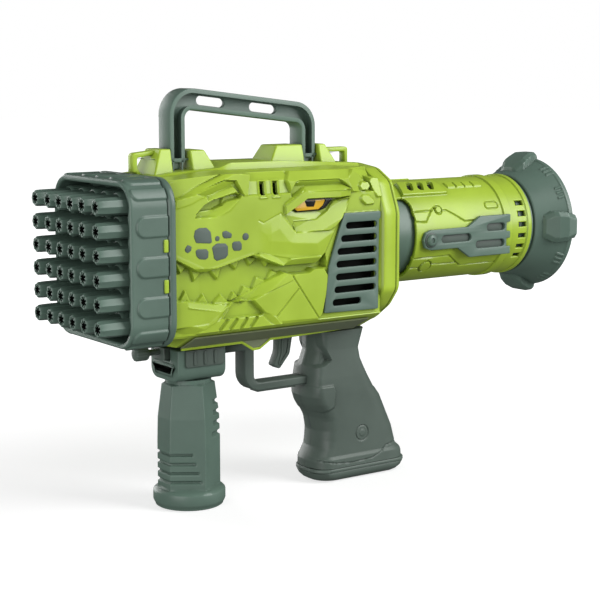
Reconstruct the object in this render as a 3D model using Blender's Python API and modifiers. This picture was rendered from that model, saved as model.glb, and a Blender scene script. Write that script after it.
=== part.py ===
"""Toy bubble machine: a shoulder-tube bubble blaster with a block of 36 nozzles.

Part coordinates: X runs from the nozzle tips (0) back to the bell's rim, Y = 0 is the
plane where the left (-Y) and right (+Y) shells meet, and Z is height above the middle
of the nozzle grid. The datum empty moves all of it so that the world origin is the
middle of the footprint, on the surface that the toy stands on. Lengths are in metres.
"""
from math import cos, pi, radians, sin

import bmesh
import bpy
from mathutils import Matrix, Vector

# ---------------------------------------------------------------- driving sizes
LENGTH = 0.334            # nozzle tips to bell rim
GRID_HEIGHT = 0.143       # standing surface to the middle of the nozzle grid
WALL = 0.0022             # moulded wall thickness
GAP = 0.0003              # clearance between touching pieces
EXTRA = 0.0010            # how far cutters and joined shapes reach past a face
SIDES = {"left": -1, "right": 1}

# nozzles and head
NOZZLE_ROWS = (-0.0315, -0.0189, -0.0063, 0.0063, 0.0189, 0.0315)
NOZZLE_COLUMNS = (-0.0346, -0.0196, -0.0065, 0.0065, 0.0196, 0.0346)
NOZZLE_R = 0.0044
NOZZLE_BORE_R = 0.0024
PLATE_FRONT = 0.0340
PLATE_BACK = 0.0370
HEAD_FRONT = 0.0165
HEAD_BACK = 0.0420
HEAD_HALF_Y = 0.0433
HEAD_HALF_Z = 0.0440
HEAD_CORNER = 0.0140
HEAD_WALL = 0.0030
FLANGE_FRONT = 0.0375

# body shells: x, half width, top height, bottom height
BODY_STATIONS = (
    (0.0423, 0.0385, 0.0435, -0.0440),
    (0.0530, 0.0385, 0.0450, -0.0450),
    (0.0570, 0.0386, 0.0455, -0.0500),
    (0.0900, 0.0388, 0.0480, -0.0500),
    (0.1150, 0.0388, 0.0500, -0.0500),
    (0.1300, 0.0387, 0.0490, -0.0500),
    (0.1600, 0.0387, 0.0475, -0.0500),
    (0.1790, 0.0387, 0.0465, -0.0500),
)
SIDE_TOP = 0.0334         # where the upright side turns in towards the roof
COLLAR_FRONT = 0.1810
COLLAR_BACK = 0.1940
COLLAR_OUTLINE = (
    (0.0000, 0.0460), (0.0040, 0.0460), (0.0213, 0.0440), (0.0340, 0.0370), (0.0410, 0.0200),
    (0.0412, 0.0120), (0.0412, -0.0080), (0.0411, -0.0257), (0.0330, -0.0360), (0.0200, -0.0452),
    (0.0040, -0.0512), (0.0000, -0.0512),
)

# barrel and bell
BARREL_Z = 0.0028
BARREL_R = 0.0309
BARREL_FRONT = 0.1965
BARREL_BACK = 0.3090
RING_R = 0.0283
HOLE_R = 0.0293
BELL_RIM_R = 0.0411
LUG_R = 0.0450
BARREL_SLOT_ANGLES = (-35, -22, -9, 4, 17, 30)  # degrees up from each side
WINDOW_R = 0.0160         # bite in each side of the barrel that bares the inner ring

# fan, motor and duct, all on the nozzle grid's middle line
DUCT_FRONT = 0.0430
DUCT_THROAT = 0.0660
DUCT_BACK = 0.0940
DUCT_R = 0.0310
FAN_R = 0.0270
FAN_HUB_R = 0.0070
FAN_X = 0.0780
FAN_BLADES = 7
BLADE_PITCH = radians(38)
MOTOR_R = 0.0138
MOTOR_FRONT = 0.0890
MOTOR_BACK = 0.1190
SHAFT_R = 0.0010

# trigger group
PIVOT = (0.1400, 0.0, -0.0440)
TRIGGER_HALF_Y = 0.0033
PIN_R = 0.0015
FRAME_X = (0.1330, 0.1620)
FRAME_Z = (-0.0470, -0.0280)
BRIDGE_X = (0.1450, 0.1505)   # the strip on the trigger's arm that closes the switch
BRIDGE_HALF = 0.0026          # half of the strip's width
STRIP_LIFT = 0.0001           # clear of the arm's own face
STRIP_THICK = 0.0005
SPRING_X = 0.1555
SPRING_R = 0.0021
SPRING_WIRE_R = 0.00035
SPRING_TURNS = 6

# carry handle
HANDLE_HALF_Y = 0.0063
HANDLE_FOOT_Z = 0.0530
HANDLE_LEGS_X = (0.0661, 0.1535)

# grips
GRIP_HALF_Y = 0.0150
GRIP_SPLIT_Z = -0.1345     # the battery cover's joint with the grip
COVER_HALF_Y = 0.0160
FLOOR_Z = -GRID_HEIGHT
CELL_R = 0.00725
CELL_LENGTH = 0.0500
CELL_TILT = radians(14)
FRONT_GRIP_X = 0.0748
CLAMP_X = (0.0594, 0.0906)
CLAMP_HALF_Y = 0.0150
RAIL_HALF_Y = 0.0055
RAIL_Z = (-0.0585, -0.0513)
KNOB_Z = -0.0528

# colours (linear RGB), roughness
GREEN = ((0.40, 0.56, 0.055), 0.32)
GREY = ((0.13, 0.20, 0.165), 0.45)
DARK_GREY = ((0.085, 0.115, 0.105), 0.50)
AMBER = ((0.80, 0.36, 0.02), 0.30)
BLACK = ((0.02, 0.02, 0.02), 0.50)
WHITE = ((0.75, 0.75, 0.72), 0.45)
BOARD = ((0.02, 0.16, 0.05), 0.50)
STEEL = ((0.60, 0.60, 0.60), 0.30)
CELL_WRAP = ((0.10, 0.11, 0.12), 0.35)
METALS = (STEEL,)


# ---------------------------------------------------------------- scene helpers
def clear_scene():
    for item in list(bpy.data.objects):
        bpy.data.objects.remove(item, do_unlink=True)


def collection(name):
    made = bpy.data.collections.new(name)
    bpy.context.scene.collection.children.link(made)
    return made


def empty(name, location, parent=None):
    item = bpy.data.objects.new(name, None)
    item.location = location
    item.parent = parent
    PARTS.objects.link(item)
    return item


def place(name, mesh, finish, parent, location=(0, 0, 0), turn=None):
    """Link a mesh as a named piece of the toy, with its own material."""
    item = bpy.data.objects.new(name, mesh)
    item.parent = parent
    item.matrix_local = Matrix.Translation(location) @ (turn or Matrix())
    PARTS.objects.link(item)
    colour, roughness = finish
    paint = bpy.data.materials.new(name)
    paint.use_nodes = True
    shader = paint.node_tree.nodes["Principled BSDF"]
    shader.inputs["Base Color"].default_value = (*colour, 1)
    shader.inputs["Roughness"].default_value = roughness
    shader.inputs["Metallic"].default_value = 1.0 if finish in METALS else 0.0
    mesh.materials.append(paint)
    return item


def tool(name, mesh, parent, location=(0, 0, 0), turn=None):
    """A shape that only cuts or joins another piece."""
    item = bpy.data.objects.new(name, mesh)
    item.parent = parent
    item.matrix_local = Matrix.Translation(location) @ (turn or Matrix())
    item.hide_render = True
    item.display_type = "WIRE"
    TOOLS.objects.link(item)
    return item


def combine(target, other, operation):
    step = target.modifiers.new(other.name, "BOOLEAN")
    step.operation = operation
    step.object = other
    step.solver = "EXACT"


def cut(target, mesh, location=(0, 0, 0), turn=None):
    other = tool(target.name + "_cutter", mesh, target.parent, location, turn)
    combine(target, other, "DIFFERENCE")


def join(target, mesh, location=(0, 0, 0), turn=None):
    other = tool(target.name + "_addition", mesh, target.parent, location, turn)
    combine(target, other, "UNION")


# ---------------------------------------------------------------- mesh makers
def finish_mesh(bm, name, smooth=False):
    bmesh.ops.recalc_face_normals(bm, faces=bm.faces)
    mesh = bpy.data.meshes.new(name)
    bm.to_mesh(mesh)
    bm.free()
    if smooth:
        mesh.shade_smooth()
        mesh.set_sharp_from_angle(angle=radians(35))
    return mesh


def box(low, high):
    bm = bmesh.new()
    bmesh.ops.create_cube(bm, size=1)
    for vert in bm.verts:
        vert.co = [low[i] if vert.co[i] < 0 else high[i] for i in range(3)]
    return finish_mesh(bm, "box")


def rod(radius, start, end, axis, at=(0, 0, 0), sides=16):
    """Cylinder along X, Y or Z between two stations of that axis."""
    bm = bmesh.new()
    bmesh.ops.create_cone(bm, cap_ends=True, segments=sides, radius1=radius, radius2=radius,
                          depth=end - start)
    bmesh.ops.transform(bm, matrix=Matrix.Translation((0, 0, (start + end) / 2)), verts=bm.verts)
    turn = {"X": Matrix.Rotation(pi / 2, 4, "Y"), "Y": Matrix.Rotation(-pi / 2, 4, "X"),
            "Z": Matrix()}[axis]
    bmesh.ops.transform(bm, matrix=Matrix.Translation(at) @ turn, verts=bm.verts)
    return finish_mesh(bm, "rod", smooth=True)


def merged(meshes):
    """Several separate meshes in one, for cutters with many teeth."""
    bm = bmesh.new()
    for mesh in meshes:
        bm.from_mesh(mesh)
    return finish_mesh(bm, "group")


def loft(loops, ring=False):
    """Skin over closed loops of equal count. A ring joins the last loop to the first."""
    bm = bmesh.new()
    rows = [[bm.verts.new(point) for point in loop] for loop in loops]
    count = len(rows[0])
    pairs = list(zip(rows, rows[1:])) + ([(rows[-1], rows[0])] if ring else [])
    for first, second in pairs:
        for i in range(count):
            j = (i + 1) % count
            bm.faces.new((first[i], first[j], second[j], second[i]))
    if not ring:
        bm.faces.new(rows[0])
        bm.faces.new(rows[-1])
    return finish_mesh(bm, "loft", smooth=True)


def plate(outline, axis, low, high, holes=()):
    """Flat outline with holes, thick from low to high along an axis.

    Outlines are (x, z) for a plate along Y, (y, z) along X and (x, y) along Z.
    """
    curve = bpy.data.curves.new("outline", "CURVE")
    curve.dimensions = "2D"
    curve.fill_mode = "BOTH"
    curve.extrude = (high - low) / 2
    curve.render_resolution_u = 0
    for points in (outline, *holes):
        spline = curve.splines.new("POLY")
        spline.points.add(len(points) - 1)
        for target, (u, v) in zip(spline.points, points):
            target.co = (u, v, 0, 1)
        spline.use_cyclic_u = True
    item = bpy.data.objects.new("outline", curve)
    bpy.context.scene.collection.objects.link(item)
    bpy.context.view_layer.update()
    flat = bpy.data.meshes.new_from_object(item.evaluated_get(bpy.context.evaluated_depsgraph_get()))
    bpy.data.objects.remove(item, do_unlink=True)
    bm = bmesh.new()
    bm.from_mesh(flat)
    bmesh.ops.remove_doubles(bm, verts=bm.verts, dist=1e-6)
    middle = (low + high) / 2
    upright = Matrix.Rotation(pi / 2, 4, "X")
    turn = {"Z": Matrix.Translation((0, 0, middle)),
            "Y": Matrix.Translation((0, middle, 0)) @ upright,
            "X": Matrix.Translation((middle, 0, 0)) @ Matrix.Rotation(pi / 2, 4, "Z") @ upright}
    bmesh.ops.transform(bm, matrix=turn[axis], verts=bm.verts)
    return finish_mesh(bm, "plate")


def half_shell(name, sections, side, wall, finish):
    """Half of a hollow casing: an open skin over half sections, thickened inwards."""
    bm = bmesh.new()
    rows = [[bm.verts.new((x, side * max(y, GAP / 2), z)) for x, y, z in section]
            for section in sections]
    for first, second in zip(rows, rows[1:]):
        for i in range(len(first) - 1):
            corners = (first[i], second[i], second[i + 1], first[i + 1])
            bm.faces.new(corners if side > 0 else corners[::-1])
    mesh = bpy.data.meshes.new(name)
    bm.to_mesh(mesh)
    bm.free()
    mesh.shade_smooth()
    mesh.set_sharp_from_angle(angle=radians(30))
    item = place(name, mesh, finish, DATUM)
    step = item.modifiers.new("wall", "SOLIDIFY")
    step.thickness = wall
    step.offset = -1
    step.use_quality_normals = True
    return item


def turned(name, profile, finish, parent, at, steps=32):
    """Turned shape about X: the (radius, x) profile runs down its outer side."""
    mesh = bpy.data.meshes.new(name)
    count = len(profile)
    closed = min(radius for radius, _ in profile) > 0
    edges = [(i, i + 1) for i in range(count - 1)] + ([(count - 1, 0)] if closed else [])
    mesh.from_pydata([(radius, 0, height) for radius, height in profile], edges, [])
    item = place(name, mesh, finish, parent, at, Matrix.Rotation(pi / 2, 4, "Y"))
    step = item.modifiers.new("turn", "SCREW")
    step.angle = 2 * pi
    step.steps = steps
    step.render_steps = steps
    step.use_merge_vertices = True
    step.merge_threshold = 0.00001
    step.use_smooth_shade = True
    return item


# ---------------------------------------------------------------- outlines
def rounded_rect(half_u, half_v, radius, per_corner=4):
    points = []
    for corner in range(4):
        centre_u = (half_u - radius) * (1 if corner in (0, 3) else -1)
        centre_v = (half_v - radius) * (1 if corner < 2 else -1)
        for i in range(per_corner + 1):
            angle = pi / 2 * (corner + i / per_corner)
            points.append((centre_u + radius * cos(angle), centre_v + radius * sin(angle)))
    return points


def slot_outline(centre, half_length, half_height, per_end=4):
    """Slot with round ends along the first coordinate."""
    u, v = centre
    straight = half_length - half_height
    points = []
    for end in (0, 1):
        for i in range(per_end + 1):
            angle = pi * (end + i / per_end) - pi / 2
            reach = straight if end == 0 else -straight
            points.append((u + reach + half_height * cos(angle), v + half_height * sin(angle)))
    return points


def squircle(x, half, roundness, count=24):
    """Loop across X: a circle at roundness 1, squarer below it."""
    points = []
    for i in range(count):
        u, v = cos(2 * pi * i / count), sin(2 * pi * i / count)
        points.append((x, half * abs(u) ** roundness * (1 if u > 0 else -1),
                       half * abs(v) ** roundness * (1 if v > 0 else -1)))
    return points


def filleted(corners, segments=4):
    """Closed outline of (u, v, radius) corners with arcs in the rounded ones."""
    points = []
    for i, (u, v, radius) in enumerate(corners):
        here = Vector((u, v))
        if radius == 0:
            points.append((u, v))
            continue
        back = (Vector(corners[i - 1][:2]) - here).normalized()
        ahead = (Vector(corners[(i + 1) % len(corners)][:2]) - here).normalized()
        half_angle = back.angle(ahead) / 2
        centre = here + (back + ahead).normalized() * radius / sin(half_angle)
        start = here + back * radius * cos(half_angle) / sin(half_angle) - centre
        end = here + ahead * radius * cos(half_angle) / sin(half_angle) - centre
        sweep = start.angle_signed(end)
        for k in range(segments + 1):
            turn = Matrix.Rotation(-sweep * k / segments, 2)
            points.append(tuple(centre + turn @ start))
    return points


# ---------------------------------------------------------------- head
def make_nozzle_block():
    outline = rounded_rect(HEAD_HALF_Y - HEAD_WALL - GAP, HEAD_HALF_Z - HEAD_WALL - GAP,
                           HEAD_CORNER - HEAD_WALL, 3)
    block = place("nozzle_block", plate(outline, "X", PLATE_FRONT, PLATE_BACK), GREY, DATUM)
    centres = [(0, y, z) for y in NOZZLE_COLUMNS for z in NOZZLE_ROWS]
    tubes = [rod(NOZZLE_R, 0, PLATE_FRONT + EXTRA, "X", centre, 10) for centre in centres]
    bores = [rod(NOZZLE_BORE_R, -EXTRA, PLATE_BACK + EXTRA, "X", centre, 6) for centre in centres]
    join(block, merged(tubes))
    cut(block, merged(bores))


def make_head_shroud():
    chamfer, groove, lip = 0.0012, 0.0016, 0.0010
    groove_front = FLANGE_FRONT - 0.0022
    profile = (
        (HEAD_FRONT, chamfer), (HEAD_FRONT + chamfer, 0), (groove_front, 0),
        (groove_front, groove), (FLANGE_FRONT, groove), (FLANGE_FRONT, -lip),
        (HEAD_BACK, -lip), (HEAD_BACK, HEAD_WALL), (HEAD_FRONT, HEAD_WALL),
    )
    loops = [[(x, y, z) for y, z in
              rounded_rect(HEAD_HALF_Y - inset, HEAD_HALF_Z - inset, HEAD_CORNER - inset)]
             for x, inset in profile]
    place("head_shroud", loft(loops, ring=True), GREY, DATUM)


# ---------------------------------------------------------------- casings
def body_section(x, half_width, top, bottom):
    """Half outline from the roof's middle down the side to the belly's middle."""
    low_edge = max(bottom + 0.0090, -0.0410)
    side_top = SIDE_TOP if x < COLLAR_FRONT - 0.0100 else SIDE_TOP - 0.0069
    return [(x, y, z) for y, z in (
        (0, top), (0.0040, top), (0.0220, top - 0.0015), (half_width - 0.0072, min(top - 0.0020, 0.0453)),
        (half_width, side_top), (half_width, 0.0100), (half_width, -0.0100),
        (half_width, low_edge + 0.0024), (half_width - 0.0040, low_edge),
        (0.0195, bottom + 0.0012), (0.0040, bottom), (0, bottom))]


def circle_section(x, radius, centre_z, count):
    """Half circle from top to bottom, level where it meets the middle plane."""
    level = 0.0040
    start = pi / 2 - level / radius
    points = [(x, 0, centre_z + radius)]
    for i in range(count - 2):
        angle = start - 2 * start * i / (count - 3)
        height = radius * (sin(angle) if 0 < i < count - 3 else (1 if i == 0 else -1))
        points.append((x, radius * cos(angle), centre_z + height))
    points.append((x, 0, centre_z - radius))
    return points


def mouth_section(x, radius, centre_z, outline):
    """Half circle whose points lie in line with those of the outline around it."""
    points = []
    for y, z in outline:
        if y <= 0.0040:
            points.append((x, y, centre_z + radius * (1 if z > centre_z else -1)))
        else:
            spoke = Vector((y, z - centre_z)).normalized() * radius
            points.append((x, spoke.x, centre_z + spoke.y))
    return points


def tower(side, base_x, top_x, top_z, base_y, top_y):
    """Half of a tapered block that stands on the body's roof, sunk a little into it."""
    loops = []
    for (x0, x1), half_y, z in ((base_x, base_y, TOWER_BASE_Z), (top_x, top_y, top_z)):
        inner = side * GAP / 2
        outer = side * half_y
        loops.append([(x0, inner, z), (x1, inner, z), (x1, outer, z), (x0, outer, z)])
    return loft(loops)


TOWER_BASE_Z = 0.0462
HANDLE_TOWERS = (
    # base x, top x, top z, base half width, top half width
    ((0.0480, 0.0602), (0.0540, 0.0606), 0.0580, 0.0115, 0.0080),
    ((0.0728, 0.0890), (0.0728, 0.0820), 0.0570, 0.0115, 0.0080),
    ((0.1215, 0.1478), (0.1300, 0.1478), 0.0580, 0.0115, 0.0080),
    ((0.1592, 0.1720), (0.1592, 0.1640), 0.0580, 0.0115, 0.0080),
)
REAR_LOOP = ((0.1640, 0.0450), (0.1640, 0.0555), (0.1845, 0.0555), (0.1845, 0.0452),
             (0.1820, 0.0452), (0.1820, 0.0528), (0.1680, 0.0528), (0.1680, 0.0450))
FRONT_LOOP = ((0.0560, 0.0575), (0.0400, 0.0560), (0.0400, 0.0456), (0.0424, 0.0454),
              (0.0424, 0.0427), (0.0470, 0.0430), (0.0430, 0.0478), (0.0430, 0.0535),
              (0.0560, 0.0550))
LOOP_HALF_Y = 0.0028
BROW_SLOTS_X = (0.0988, 0.1073)
BROW_SLOT_WIDTH = 0.0028
TRIGGER_OPENING = ((0.1315, -0.0042, -0.0560), (0.1525, 0.0042, -0.0470))
HANDLE_SCREW_HOLE_R = 0.0011
VENT_OUTLINE = ((0.1545, 0.0200), (0.1780, 0.0200), (0.1780, -0.0336), (0.1420, -0.0343),
                (0.1450, -0.0120), (0.1470, -0.0020))
VENT_OPENING = ((0.1560, 0.0170), (0.1750, 0.0170), (0.1750, -0.0322), (0.1455, -0.0322),
                (0.1490, -0.0020))


def make_body_shells():
    body = [body_section(*station) for station in BODY_STATIONS]
    body += [[(x, y, z) for y, z in COLLAR_OUTLINE] for x in (COLLAR_FRONT, COLLAR_BACK)]
    body.append(mouth_section(COLLAR_BACK + 0.0013, HOLE_R, BARREL_Z, COLLAR_OUTLINE))
    for label, side in SIDES.items():
        shell = half_shell("body_shell_" + label, body, side, WALL, GREEN)
        for shape in HANDLE_TOWERS:
            join(shell, tower(side, *shape))
        ends = sorted((side * GAP / 2, side * LOOP_HALF_Y))
        for loop in (REAR_LOOP, FRONT_LOOP):
            join(shell, plate(loop, "Y", *ends))
        wall_low, wall_high = sorted((side * 0.0300, side * 0.0450))
        cut(shell, plate(VENT_OPENING, "Y", wall_low, wall_high))
        cut(shell, box(*TRIGGER_OPENING))
        cut(shell, merged([box((x, wall_low, 0.0320), (x + BROW_SLOT_WIDTH, wall_high, 0.0410))
                           for x in BROW_SLOTS_X]))
        cut(shell, merged([rod(HANDLE_SCREW_HOLE_R, 0.0380, 0.0540, "Z", (x, 0, 0), 8)
                           for x in HANDLE_LEGS_X]))


VENT_SLOTS = (  # front end, back end of each slot, from the top down
    (0.1568, 0.1762), (0.1535, 0.1762), (0.1505, 0.1762), (0.1495, 0.1762),
    (0.1487, 0.1762), (0.1480, 0.1750), (0.1470, 0.1660),
)
VENT_SLOT_TOP = 0.0133
VENT_SLOT_PITCH = 0.0072
VENT_SLOT_HALF = 0.0019


def make_vent_panels():
    slots = [slot_outline(((front + back) / 2, VENT_SLOT_TOP - VENT_SLOT_PITCH * i),
                          (back - front) / 2, VENT_SLOT_HALF, 3)
             for i, (front, back) in enumerate(VENT_SLOTS)]
    for label, side in SIDES.items():
        ends = sorted((side * 0.0390, side * 0.0406))
        place("vent_panel_" + label, plate(VENT_OUTLINE, "Y", *ends, slots), GREY, DATUM)


EYE_OUTLINE = ((0.1211, 0.0248), (0.1280, 0.0290), (0.1470, 0.0290), (0.1428, 0.0245),
               (0.1391, 0.0232), (0.1235, 0.0230))


def make_eyes():
    for label, side in SIDES.items():
        ends = sorted((side * 0.0390, side * 0.0400))
        place("eye_" + label, plate(EYE_OUTLINE, "Y", *ends), AMBER, DATUM)


def make_barrel():
    sections = [circle_section(x, BARREL_R, BARREL_Z, 17) for x in (BARREL_FRONT, BARREL_BACK)]
    for label, side in SIDES.items():
        shell = half_shell("barrel_shell_" + label, sections, side, WALL, GREEN)
        window = rod(WINDOW_R, *sorted((side * 0.0200, side * 0.0400)), "Y", sides=20)
        window.transform(Matrix.Diagonal((0.95, 1, 1.55, 1)))
        cut(shell, window, (0.1945, 0, -0.0015))
        slots = []
        for angle in BARREL_SLOT_ANGLES:
            slot = box((0.2968, 0.0270, -0.0017), (0.3038, 0.0340, 0.0017))
            turn = radians(angle if side > 0 else 180 - angle)
            slot.transform(Matrix.Rotation(turn, 4, "X"))
            slots.append(slot)
        cut(shell, merged(slots), (0, 0, BARREL_Z))
    ring_front, ring_back = 0.1860, 0.2180
    ring = ((RING_R, ring_back), (RING_R, ring_front), (RING_R - WALL, ring_front),
            (RING_R - WALL, ring_back))
    turned("barrel_ring", ring, GREY, DATUM, (0, 0, BARREL_Z))


def make_bell():
    spigot_r = BARREL_R - WALL - GAP
    profile = (
        (0, 0.3155), (0.0290, 0.3155), (BELL_RIM_R - 0.0025, LENGTH), (BELL_RIM_R, LENGTH),
        (BELL_RIM_R, 0.3315), (0.0318, 0.3118), (0.0298, 0.3108), (0.0298, 0.3093),
        (spigot_r, 0.3093), (spigot_r, 0.3000), (spigot_r - WALL, 0.3000),
        (spigot_r - WALL, 0.3130), (0, 0.3130),
    )
    bell = turned("bell", profile, GREY, DATUM, (0, 0, BARREL_Z), 40)
    half = 0.0072
    for i in range(4):
        loops = [[(x, -half, low), (x, half, low), (x, half * 0.8, high), (x, -half * 0.8, high)]
                 for x, low, high in ((0.3180, 0.0335, 0.0372), (0.3240, 0.0360, 0.0435),
                                      (0.3335, 0.0395, LUG_R))]
        join(bell, loft(loops), (0, 0, BARREL_Z), Matrix.Rotation(pi / 2 * i, 4, "X"))


LINK_OUTLINE = (
    (0.2300, 0.0060), (0.2535, 0.0062), (0.2632, 0.0122), (0.2880, 0.0122), (0.2880, 0.0075),
    (0.2850, 0.0075), (0.2850, 0.0019), (0.2880, 0.0019), (0.2880, -0.0024), (0.2850, -0.0024),
    (0.2850, -0.0074), (0.2880, -0.0074), (0.2880, -0.0122), (0.2550, -0.0122),
    (0.2456, -0.0060), (0.2240, -0.0060), (0.2200, -0.0045), (0.2183, 0.0000), (0.2200, 0.0045),
    (0.2240, 0.0060),
)
LINK_SLOTS = (((0.2442, 0.0000), 0.0118), ((0.2760, 0.0050), 0.0075), ((0.2715, -0.0050), 0.0118))
LINK_BOLT_X = 0.2242
LINK_FACE_Y = (0.0312, 0.0328)


def make_links():
    slots = [slot_outline(centre, half_length, 0.0023, 3) for centre, half_length in LINK_SLOTS]
    for label, side in SIDES.items():
        inner, outer = LINK_FACE_Y
        ends = sorted((side * inner, side * outer))
        place("link_plate_" + label, plate(LINK_OUTLINE, "Y", *ends, slots), GREY, DATUM)
        head = sorted((side * (outer + GAP), side * (outer + 0.0021)))
        mesh = rod(0.0038, *head, "Y", (LINK_BOLT_X, 0, 0), 16)
        place("link_bolt_" + label, mesh, GREY, DATUM)


TRIM_STATIONS = (  # x, lowest height of the outer face
    (0.0580, -0.0505), (0.0975, -0.0505), (0.1045, -0.0553), (0.1095, -0.0553),
    (0.1165, -0.0505), (0.1750, -0.0490),
)


def make_lower_trims():
    for label, side in SIDES.items():
        loops = []
        for x, low in TRIM_STATIONS:
            section = ((0.0352, -0.0413), (0.0198, -0.0493), (0.0198, low), (0.0212, low),
                       (0.0212, -0.0498), (0.0362, -0.0420))
            loops.append([(x, side * y, z) for y, z in section])
        place("lower_trim_" + label, loft(loops), DARK_GREY, DATUM)


# ---------------------------------------------------------------- fan and drive
def make_air_path():
    stations = ((DUCT_FRONT, 0.0345, 0.45), (DUCT_THROAT, DUCT_R, 1.0), (DUCT_BACK, DUCT_R, 1.0))
    outer, inner = ([squircle(x, half - depth, roundness) for x, half, roundness in stations]
                    for depth in (0, WALL * 0.8))
    place("air_duct", loft(outer + inner[::-1], ring=True), WHITE, DATUM)

    bracket_front, bracket_back = DUCT_BACK + GAP, DUCT_BACK + 0.0030
    through = (bracket_front - EXTRA, bracket_back + EXTRA)
    bracket = place("motor_bracket", rod(DUCT_R, bracket_front, bracket_back, "X", sides=28), WHITE,
                    DATUM)
    holes = [rod(MOTOR_R + GAP, *through, "X", sides=24)]
    air_hole_r, air_circle_r, air_hole_count = 0.0050, 0.0220, 6
    for i in range(air_hole_count):
        angle = 2 * pi * i / air_hole_count
        centre = (0, air_circle_r * cos(angle), air_circle_r * sin(angle))
        holes.append(rod(air_hole_r, *through, "X", centre, 10))
    cut(bracket, merged(holes))

    motor = place("fan_motor", rod(MOTOR_R, MOTOR_FRONT, MOTOR_BACK, "X", sides=24), STEEL, DATUM)
    boss_front, shaft_depth = MOTOR_FRONT - 0.0015, 0.0140
    join(motor, rod(0.0050, boss_front, MOTOR_FRONT + EXTRA, "X"))
    cut(motor, rod(SHAFT_R + GAP, boss_front - EXTRA, MOTOR_FRONT + shaft_depth + 0.0020, "X", sides=10))

    axis = empty("fan_axis", (FAN_X, 0, 0), DATUM)
    shaft = rod(SHAFT_R, 0.0005, MOTOR_FRONT + shaft_depth - FAN_X, "X", sides=10)
    place("motor_shaft", shaft, STEEL, axis)
    fan = place("fan_impeller", rod(FAN_HUB_R, -0.0060, 0.0060, "X", sides=3 * FAN_BLADES), WHITE, axis)
    for i in range(FAN_BLADES):
        blade = box((-0.0070, -0.0006, FAN_HUB_R * 0.85), (0.0070, 0.0006, FAN_R))
        blade.transform(Matrix.Rotation(2 * pi * i / FAN_BLADES, 4, "X")
                        @ Matrix.Rotation(BLADE_PITCH, 4, "Z"))
        join(fan, blade)
    cut(fan, rod(SHAFT_R + GAP, 0.0002, 0.0080, "X", sides=10))

    for i, height in enumerate((0.0285, -0.0285)):
        head = rod(0.0019, bracket_back + GAP, bracket_back + 0.0018, "X", (0, 0, height), 10)
        place(f"bracket_screw_{i + 1}", head, STEEL, DATUM)


# ---------------------------------------------------------------- trigger group
def make_trigger_group():
    px, _, pz = PIVOT
    frame_low, frame_high = FRAME_Z
    x0, x1 = FRAME_X
    frame = place("trigger_frame", box((x0, -0.0062, frame_low), (x1, 0.0062, frame_high)),
                  WHITE, DATUM)
    cut(frame, box((x0 - 0.01, -0.0041, frame_low - 0.01), (x1 + 0.01, 0.0041, frame_high - 0.0020)))
    cut(frame, rod(PIN_R + GAP, -0.02, 0.02, "Y", (px, 0, pz), 14))
    place("trigger_pin", rod(PIN_R, -0.0075, 0.0075, "Y", (px, 0, pz), 14), STEEL, DATUM)

    pivot = empty("trigger_pivot", PIVOT, DATUM)
    outline = [(x - px, z - pz) for x, z in filleted((
        (0.1348, -0.0510, 0), (0.1344, -0.0622, 0.010), (0.1310, -0.0700, 0.0010),
        (0.1352, -0.0724, 0.0012), (0.1425, -0.0640, 0.006), (0.1443, -0.0538, 0.012),
        (0.1450, -0.0478, 0.002), (0.1585, -0.0472, 0.001), (0.1585, -0.0425, 0.001),
        (0.1440, -0.0425, 0), (0.1425, -0.0405, 0.0015), (0.1370, -0.0405, 0.0015),
        (0.1352, -0.0440, 0)), 3)]
    trigger = place("trigger", plate(outline, "Y", -TRIGGER_HALF_Y, TRIGGER_HALF_Y), DARK_GREY, pivot)
    cut(trigger, rod(PIN_R + GAP, -0.02, 0.02, "Y", sides=14))

    arm_z = -0.0425
    strip_low = arm_z - pz + STRIP_LIFT
    bridge = box((BRIDGE_X[0] - px, -BRIDGE_HALF, strip_low),
                 (BRIDGE_X[1] - px, BRIDGE_HALF, strip_low + STRIP_THICK))
    place("contact_bridge", bridge, STEEL, pivot)
    roof_z = frame_high - 0.0020
    switch_low = -0.0382
    switch = place("switch_block", box((0.1430, -0.0030, switch_low), (0.1528, 0.0030, roof_z - GAP)),
                   BLACK, DATUM)
    cut(switch, box((0.1465, -0.0040, switch_low - EXTRA), (0.1490, 0.0040, switch_low + 0.0015)))

    low = arm_z + GAP + SPRING_WIRE_R
    high = roof_z - GAP - SPRING_WIRE_R
    curve = bpy.data.curves.new("trigger_spring", "CURVE")
    curve.dimensions = "3D"
    curve.bevel_depth = SPRING_WIRE_R
    curve.bevel_resolution = 0
    curve.render_resolution_u = 0
    curve.use_fill_caps = True
    per_turn = 8
    count = SPRING_TURNS * per_turn
    spline = curve.splines.new("POLY")
    spline.points.add(count)
    for i, point in enumerate(spline.points):
        angle = 2 * pi * i / per_turn
        point.co = (SPRING_X + SPRING_R * cos(angle), SPRING_R * sin(angle),
                    low + (high - low) * i / count, 1)
    place("trigger_spring", curve, STEEL, DATUM)


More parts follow.
